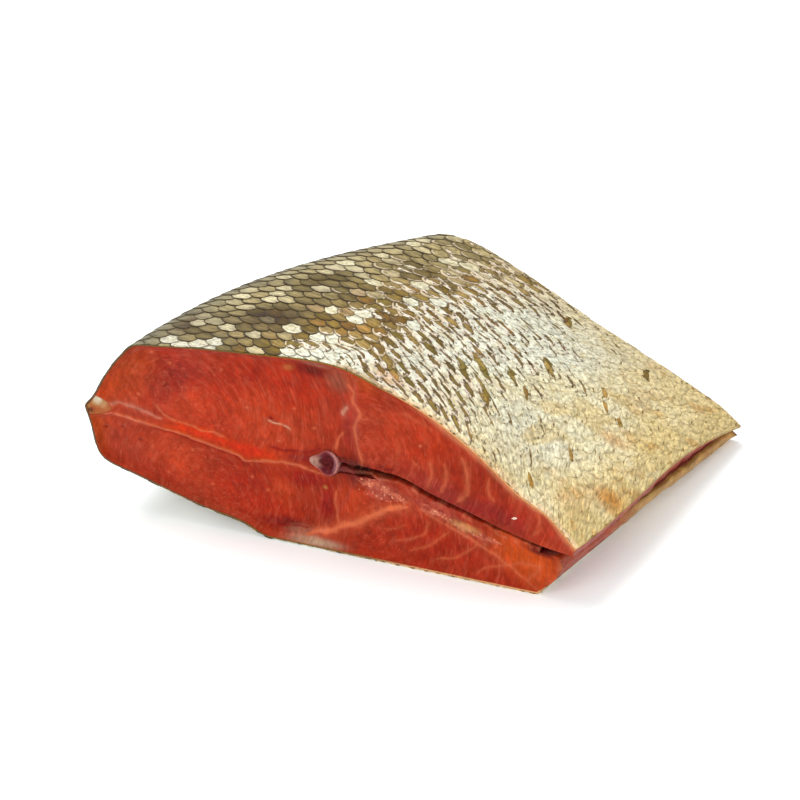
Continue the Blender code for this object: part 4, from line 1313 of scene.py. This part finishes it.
def make_flakes():
    """Small pale flakes of fat that stick to the cut."""
    angles = np.linspace(0, 2 * np.pi, 20, endpoint=False)
    out = np.sin(np.linspace(0.02, np.pi / 2, 7))[:, None]
    points, faces = [], []
    for k, (centre, length, width, turn, height) in enumerate(FLAKES + crumb_flakes()):
        rough = 1 + 0.25 * lumps(4 * np.cos(angles) + 9 * k, 4 * np.sin(angles), 1.3, 92)
        u, v = length * out * np.cos(angles) * rough, width * out * np.sin(angles) * rough
        c, n = np.cos(np.radians(turn)), np.sin(np.radians(turn))
        x, z = centre[0] + u * c - v * n, centre[1] + u * n + v * c
        y = 0.75 - height * np.sqrt(1 - 0.98 * out ** 2) + 0.08 * lumps(x, z, 0.5, 93)
        cap = np.stack([x, y, z], axis=-1)
        flake, sides = tube([*cap, cap[-1] + [0, 0.6, 0]])
        faces += [[i + k * len(flake) for i in face] for face in sides]
        points.append(flake)
    tints = [WHITE_FAT_AND_GLINT] * len(FLAKES) + [CRUMB] * (len(points) - len(FLAKES))
    tints = np.repeat(np.array(tints), len(points[0]), axis=0)
    look = grained_look("fat", 3000, 3, (0.75, 1.05), 0.35, (0.3, 0.0001), Specular_IOR_Level=0.4)
    return closed_mesh("fat_flakes", np.vstack(points), faces, [("paint", tints)], look)


def flap_ends(index):
    """1 at the points of the flesh outline that make the bare ends of both flaps."""
    upper = np.minimum(index, RING_COUNT - 1 - index) < 5
    lower = np.abs(index - OUTER_COUNT) < 8
    return (upper | lower) * 1.0


def paint_walls(walls):
    """Colour and wetness of the flesh along the piece: under the skin, in the slit and on its lips."""
    index = np.arange(len(walls)) % RING_COUNT
    x, y, z = walls.T
    inner = index >= OUTER_COUNT
    # walls of the slit: maroon tissue darkened by painted shade
    slit = mix(SLIT_WALL_AND_SHADE, MAROON, 0.5 + 0.5 * lumps(x, y, 4, 81))
    lip = np.minimum(np.abs(index - OUTER_COUNT), np.abs(RING_COUNT - 1 - index))
    slit = mix(slit, SLIT_LIP, 1 - ramp(lip, 2, 14))
    colour = np.where(inner[:, None], slit, mix(BRICK, DEEP, 0.5 + 0.4 * lumps(x, y, 6, 80)))
    ribs = np.maximum(np.cos(2 * np.pi * (y + 0.3 * x) / 7.5), 0) ** 8
    colour = mix(colour, PINK_FAT, 0.25 * ribs * inner)
    crinkled = (1 + 0.22 * lumps(y, z, 2.6, 98) + 0.2 * lumps(y, z, 1.2, 99))[:, None]
    upper_end = (index < 3) | (index > RING_COUNT - 4)
    colour = np.where(upper_end[:, None], UPPER_END * crinkled, colour)
    lower_end = (index > OUTER_COUNT - 30) & (index < OUTER_COUNT + 3)
    golden = mix(LOWER_END, LOWER_GOLD, ramp(y, 24, 48))
    colour = np.where(lower_end[:, None], golden * crinkled, colour)
    return flesh_paint(colour), np.where(inner, 0.7, 0.4)


def flesh_look():
    """Material of the meat. Its field wet adds gloss, and painted glints on crumbs where it is near 1."""
    look = Look("smoked_flesh", Specular_IOR_Level=0.25, Specular_Tint=(1.0, 0.45, 0.25, 1.0),
                Subsurface_Weight=0.10, Subsurface_Scale=0.0008, Subsurface_Radius=(1.0, 0.25, 0.12),
                Coat_Roughness=0.15)
    wet = look.field("wet")
    grain = look.noise(1500, 4, 0.65, 0.3)
    fine = look.noise(2300, 2, 0.5, 0.20)
    mottle = look.noise(300, 3)
    clouded = look.span(wet, 0.02, 0.30)
    veil = look.times(look.minus(look.noise(600, 4, 0.6, 0.34), 0.46), clouded)
    colour = look.shaded(look.field("paint", "Color"), grain, 0.30, 0.70, 0.84, 1.13)
    colour = look.shaded(colour, mottle, 0.3, 0.7, 0.88, 1.10)
    colour = look.blend(look.span(veil, 0.0, 0.26, 0.0, 0.20), colour, VEIL_PALE)
    colour = look.blend(look.span(veil, 0.0, -0.18, 0.0, 0.24), colour, VEIL_DARK)
    threads = look.times(look.span(fine, 0.58, 0.74, 0.0, 0.18), clouded)
    colour = look.blend(threads, colour, FIBRE_PALE)
    # painted glints where the meat is wettest
    crumbs = look.times(look.span(look.noise(1100, 2), 0.60, 0.66), look.span(wet, 0.80, 0.95), 0.6)
    colour = look.blend(crumbs, colour, CRUMB_GLINT)
    rough = look.minus(look.span(grain, 0.3, 0.7, 0.52, 0.38), look.times(wet, 0.2))
    height = look.plus(grain, look.times(mottle, 0.8))
    return look.set(Base_Color=colour, Roughness=rough, Normal=look.bump(height, 0.35, 0.0003),
                    Coat_Weight=look.span(wet, 0.62, 1.0, 0.0, 0.5))


# ---------------------------------------------------------------- backbone and fin root

BONE_SIDE = srgb(176, 120, 110)
BONE_RING, BONE_RING_HIGHLIGHT = srgb(158, 78, 72), srgb(194, 132, 124)
BONE_COLLAR, BONE_COLLAR_HIGHLIGHT = srgb(112, 46, 50), srgb(146, 92, 96)
BONE_MIDDLE, BONE_SWIRL = srgb(88, 14, 20), srgb(142, 62, 66)
BONE_ARCH = srgb(198, 154, 136)
# Hollow of the bone's end: share of the way from its middle to its rim, and depth
CUP = [(0.03, 1.1), (0.12, 1.05), (0.22, 1.0), (0.32, 0.9), (0.42, 0.75), (0.52, 0.5), (0.62, 0.25),
       (0.72, 0.05), (0.80, -0.12), (0.86, -0.2), (0.91, -0.22), (0.96, -0.12), (1.0, 0.05)]


def cup_ring(t, angles, share, depth):
    """Points and colours of one ring on the backbone's end at a cut."""
    x, z = (bone_centre(t) + (bone_line(t, angles) - bone_centre(t)) * share).T
    deep = BONE_RECESS + depth + np.sin(2 * angles + 9 * share) * 0.10 * (share < 0.7)
    colour = bone_colour(angles, share) * (1 + 0.22 * lumps(x, z, 0.8, 95))[:, None]
    return np.column_stack([x, deep if t == 0 else LENGTH - deep, z]), colour


def make_backbone():
    """Row of waisted vertebrae, with the cupped and ringed end that the cut shows."""
    columns, per_bone = 72, 8
    angles = np.linspace(0, 2 * np.pi, columns, endpoint=False)
    near, far = ([cup_ring(t, angles, *step) for step in CUP] for t in (0.0, 1.0))
    side_colour = mix(BONE_SIDE, MAROON, np.full(columns, 0.35))
    body = []
    for k in range(1, VERTEBRAE * per_bone):
        y = BONE_RECESS + (LENGTH - 2 * BONE_RECESS) * k / (VERTEBRAE * per_bone)
        waist = np.sin(np.pi * k / per_bone) ** 2
        line = bone_line(y / LENGTH, angles, 1 - BONE_WAIST * waist)
        body.append((np.insert(line, 1, y, axis=1), side_colour))
    rings, colours = zip(*near, *body, *far[::-1])
    look = grained_look("bone", 2600, 4, (0.78, 1.15), (0.45, 0.3), (0.4, 0.0002), Specular_IOR_Level=0.15,
                        Specular_Tint=(1.0, 0.5, 0.4, 1.0), Subsurface_Weight=0.1,
                        Subsurface_Scale=0.001, Coat_Weight=0.04, Coat_Roughness=0.2)
    return closed_mesh("vertebrae", *tube(rings), [("paint", np.vstack(colours))], look)


def bone_colour(angles, share):
    """Thin pale ring round a purple collar and a dark swirled middle, with the pale arch towards the back."""
    to_back = np.abs(np.pi - angles)
    to_belly = np.abs(np.angle(np.exp(1j * (angles - 0.2))))
    # painted highlight: ring and collar lighter towards the belly side
    ring = mix(BONE_RING, BONE_RING_HIGHLIGHT, 1 - ramp(to_belly, 0.4, 1.5))
    collar = mix(BONE_COLLAR, BONE_COLLAR_HIGHLIGHT, 1 - ramp(to_belly, 0.3, 1.6))
    swirl = 0.5 + 0.5 * np.sin(3 * angles + 16 * share)
    colour = mix(mix(BONE_MIDDLE, BONE_SWIRL, 0.6 * swirl ** 2), collar, ramp(share, 0.48, 0.60))
    colour = mix(colour, ring, ramp(share, 0.78, 0.88))
    arch = 0.85 * np.exp(-(to_back / 0.42) ** 2) * ramp(share, 0.46, 0.62)
    return flesh_paint(mix(colour, BONE_ARCH, arch))


FIN_RECESS = 0.15
FAT_TAN, FAT_CREAM, FAT_WHITE = srgb(184, 132, 86), srgb(204, 164, 116), srgb(222, 206, 178)
FAT_ORANGE, FAT_OLIVE = srgb(176, 84, 44), srgb(158, 140, 78)


def make_fin_root():
    """Cartilage and fat between the skin and the flesh along the ridge of the back."""
    body, caps = [], []
    for t in np.linspace(0, 1, 30):
        line = inward(outline(t), FLESH_INSET)
        skin_side = resample(line[RIDGE - FIN_ABOVE:RIDGE + FIN_BELOW + 1], 20)
        face = resample(fin_root_face(t, line), 30)
        ring = np.vstack([skin_side[:-1], face[::-1][:-1]])
        body.append(np.insert(ring, 1, FIN_RECESS + (LENGTH - 2 * FIN_RECESS) * t, axis=1))
    for ring, way in ((body[0], 1), (body[-1], -1)):
        centre = ring.mean(axis=0)
        for share in (0.02, 0.35, 0.7, 0.9):
            x, y, z = (centre + (ring - centre) * share).T
            bulge = 0.12 * lumps(x, z, 1.4, 90) - 0.12 * (share > 0.8)
            caps.append(np.column_stack([x, y + way * bulge, z]))
    points, faces = tube(caps[:4] + body + caps[4:][::-1])
    x, y, z = points.T
    depth, height = in_near_measure(x, z, y / LENGTH)
    away = np.hypot((depth - 4.8) / 1.3, height - 35.2) + 0.4 * lumps(x, z, 1.5, 94)
    colour = mix(FAT_TAN, FAT_CREAM, 0.5 + 0.5 * lumps(x, z, 1.6, 91))
    colour = mix(colour, FAT_WHITE, 0.9 * (1 - ramp(away, 0.7, 1.7)))
    colour = mix(colour, FAT_ORANGE, 0.85 * ramp(away, 1.9, 3.0))
    colour = mix(colour, FAT_OLIVE, 1 - ramp(depth, 1.0, 2.6))
    colour = mix(colour, BLACK_RED, 0.8 * patch(depth, height, (2.2, 31.2), (1.3, 0.8)))
    points[:, 1] = np.clip(y, 0, LENGTH)
    look = grained_look("cartilage", 1900, 3, (0.85, 1.1), 0.35, (0.4, 0.0003), Specular_IOR_Level=0.25,
                        Specular_Tint=(1.0, 0.8, 0.6, 1.0), Subsurface_Weight=0.1, Subsurface_Scale=0.001)
    return closed_mesh("fin_root_fat", points, faces, [("paint", pigment(colour, 0.02, FLESH_LIGHT))], look)


# ---------------------------------------------------------------- setting

# Places in metres and angles in degrees, the azimuth turning from the near side to the belly
CAMERA_TARGET = Vector((-0.0048, -0.0057, 0.0262))
CAMERA_AZIMUTH, CAMERA_ELEVATION = 21.3, 29.0
CAMERA_DISTANCE = 0.7642
CAMERA_LENS = 117.0
# Name, place in metres and power of each lamp
LAMPS = [("overhead", (-0.62, 0.28, 1.25), 14), ("front", (-0.25, -1.3, 0.9), 9)]
LAMP_TARGET = Vector((0, 0, 0.02))
LAMP_SIZE = 1.0
WORLD_LIGHT = 0.75
FLOOR_SIZE = 6
FLOOR_GLOW = 0.17
FLOOR_TONES = [(0.875, 0.905, 0.90), (0.895, 0.925, 0.92)]


def make_camera():
    data = bpy.data.cameras.new("camera")
    data.lens = CAMERA_LENS
    data.clip_start, data.clip_end = 0.01, 20
    camera = bpy.data.objects.new("camera", data)
    azimuth, elevation = np.radians((CAMERA_AZIMUTH, CAMERA_ELEVATION))
    level = np.cos(elevation)
    back = Vector((np.sin(azimuth) * level, -np.cos(azimuth) * level, np.sin(elevation)))
    camera.location = CAMERA_TARGET + back * CAMERA_DISTANCE
    camera.rotation_euler = (-back).to_track_quat("-Z", "Y").to_euler()
    bpy.context.scene.collection.objects.link(camera)
    bpy.context.scene.camera = camera


def add_lamp(name, location, power):
    data = bpy.data.lights.new(name, "AREA")
    data.shape = "DISK"
    data.size = LAMP_SIZE
    data.energy = power
    lamp = bpy.data.objects.new(name, data)
    lamp.location = location
    lamp.rotation_euler = (LAMP_TARGET - lamp.location).to_track_quat("-Z", "Y").to_euler()
    bpy.context.scene.collection.objects.link(lamp)


def make_setting():
    """White world, two soft lamps and a pale floor."""
    world = bpy.data.worlds.new("studio")
    world.use_nodes = True
    background = world.node_tree.nodes["Background"].inputs
    background["Color"].default_value = (1, 1, 1, 1)
    background["Strength"].default_value = WORLD_LIGHT
    bpy.context.scene.world = world
    bpy.ops.mesh.primitive_plane_add(size=FLOOR_SIZE)
    floor = bpy.context.object
    floor.name = "floor"
    look = Look("floor", Roughness=0.9, Specular_IOR_Level=0.1, Emission_Strength=FLOOR_GLOW,
                Emission_Color=(1, 1, 1))
    floor.data.materials.append(look.set(Base_Color=look.blend(look.noise(3.0), *FLOOR_TONES)))
    for lamp in LAMPS:
        add_lamp(*lamp)
    bpy.context.scene.view_settings.view_transform = "Standard"


# ---------------------------------------------------------------- assembly

# Name, lowest and highest s, columns and rows of points on a scale, seed, whether under the piece
SCALE_GROUPS = [("scales_back", -1.0, 58.0, 15, 13, 1), ("scales_flank", 58.0, 112.0, 17, 15, 2),
                ("scales_belly", 112.0, 178.0, 15, 13, 3), ("scales_under", -1.0, 178.0, 9, 7, 4, True)]


def main():
    sheet = make_skin_sheet()
    scales = [scale_piece(*group) for group in SCALE_GROUPS]
    material = scale_look()
    for piece in scales:
        piece.data.materials.append(material)
    material = flesh_look()
    meat = [make_flesh(material), make_blood_line(material), make_flakes()]
    pieces = [(piece, "skin", "skin") for piece in (sheet, *scales)]
    pieces += [(piece, "flesh", "flesh") for piece in meat]
    pieces += [(make_backbone(), "backbone", "bone"), (make_fin_root(), "fin_root", "cartilage")]
    for piece, node, slot in pieces:
        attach(piece, "root")
        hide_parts(node)
    make_camera()
    make_setting()


main()
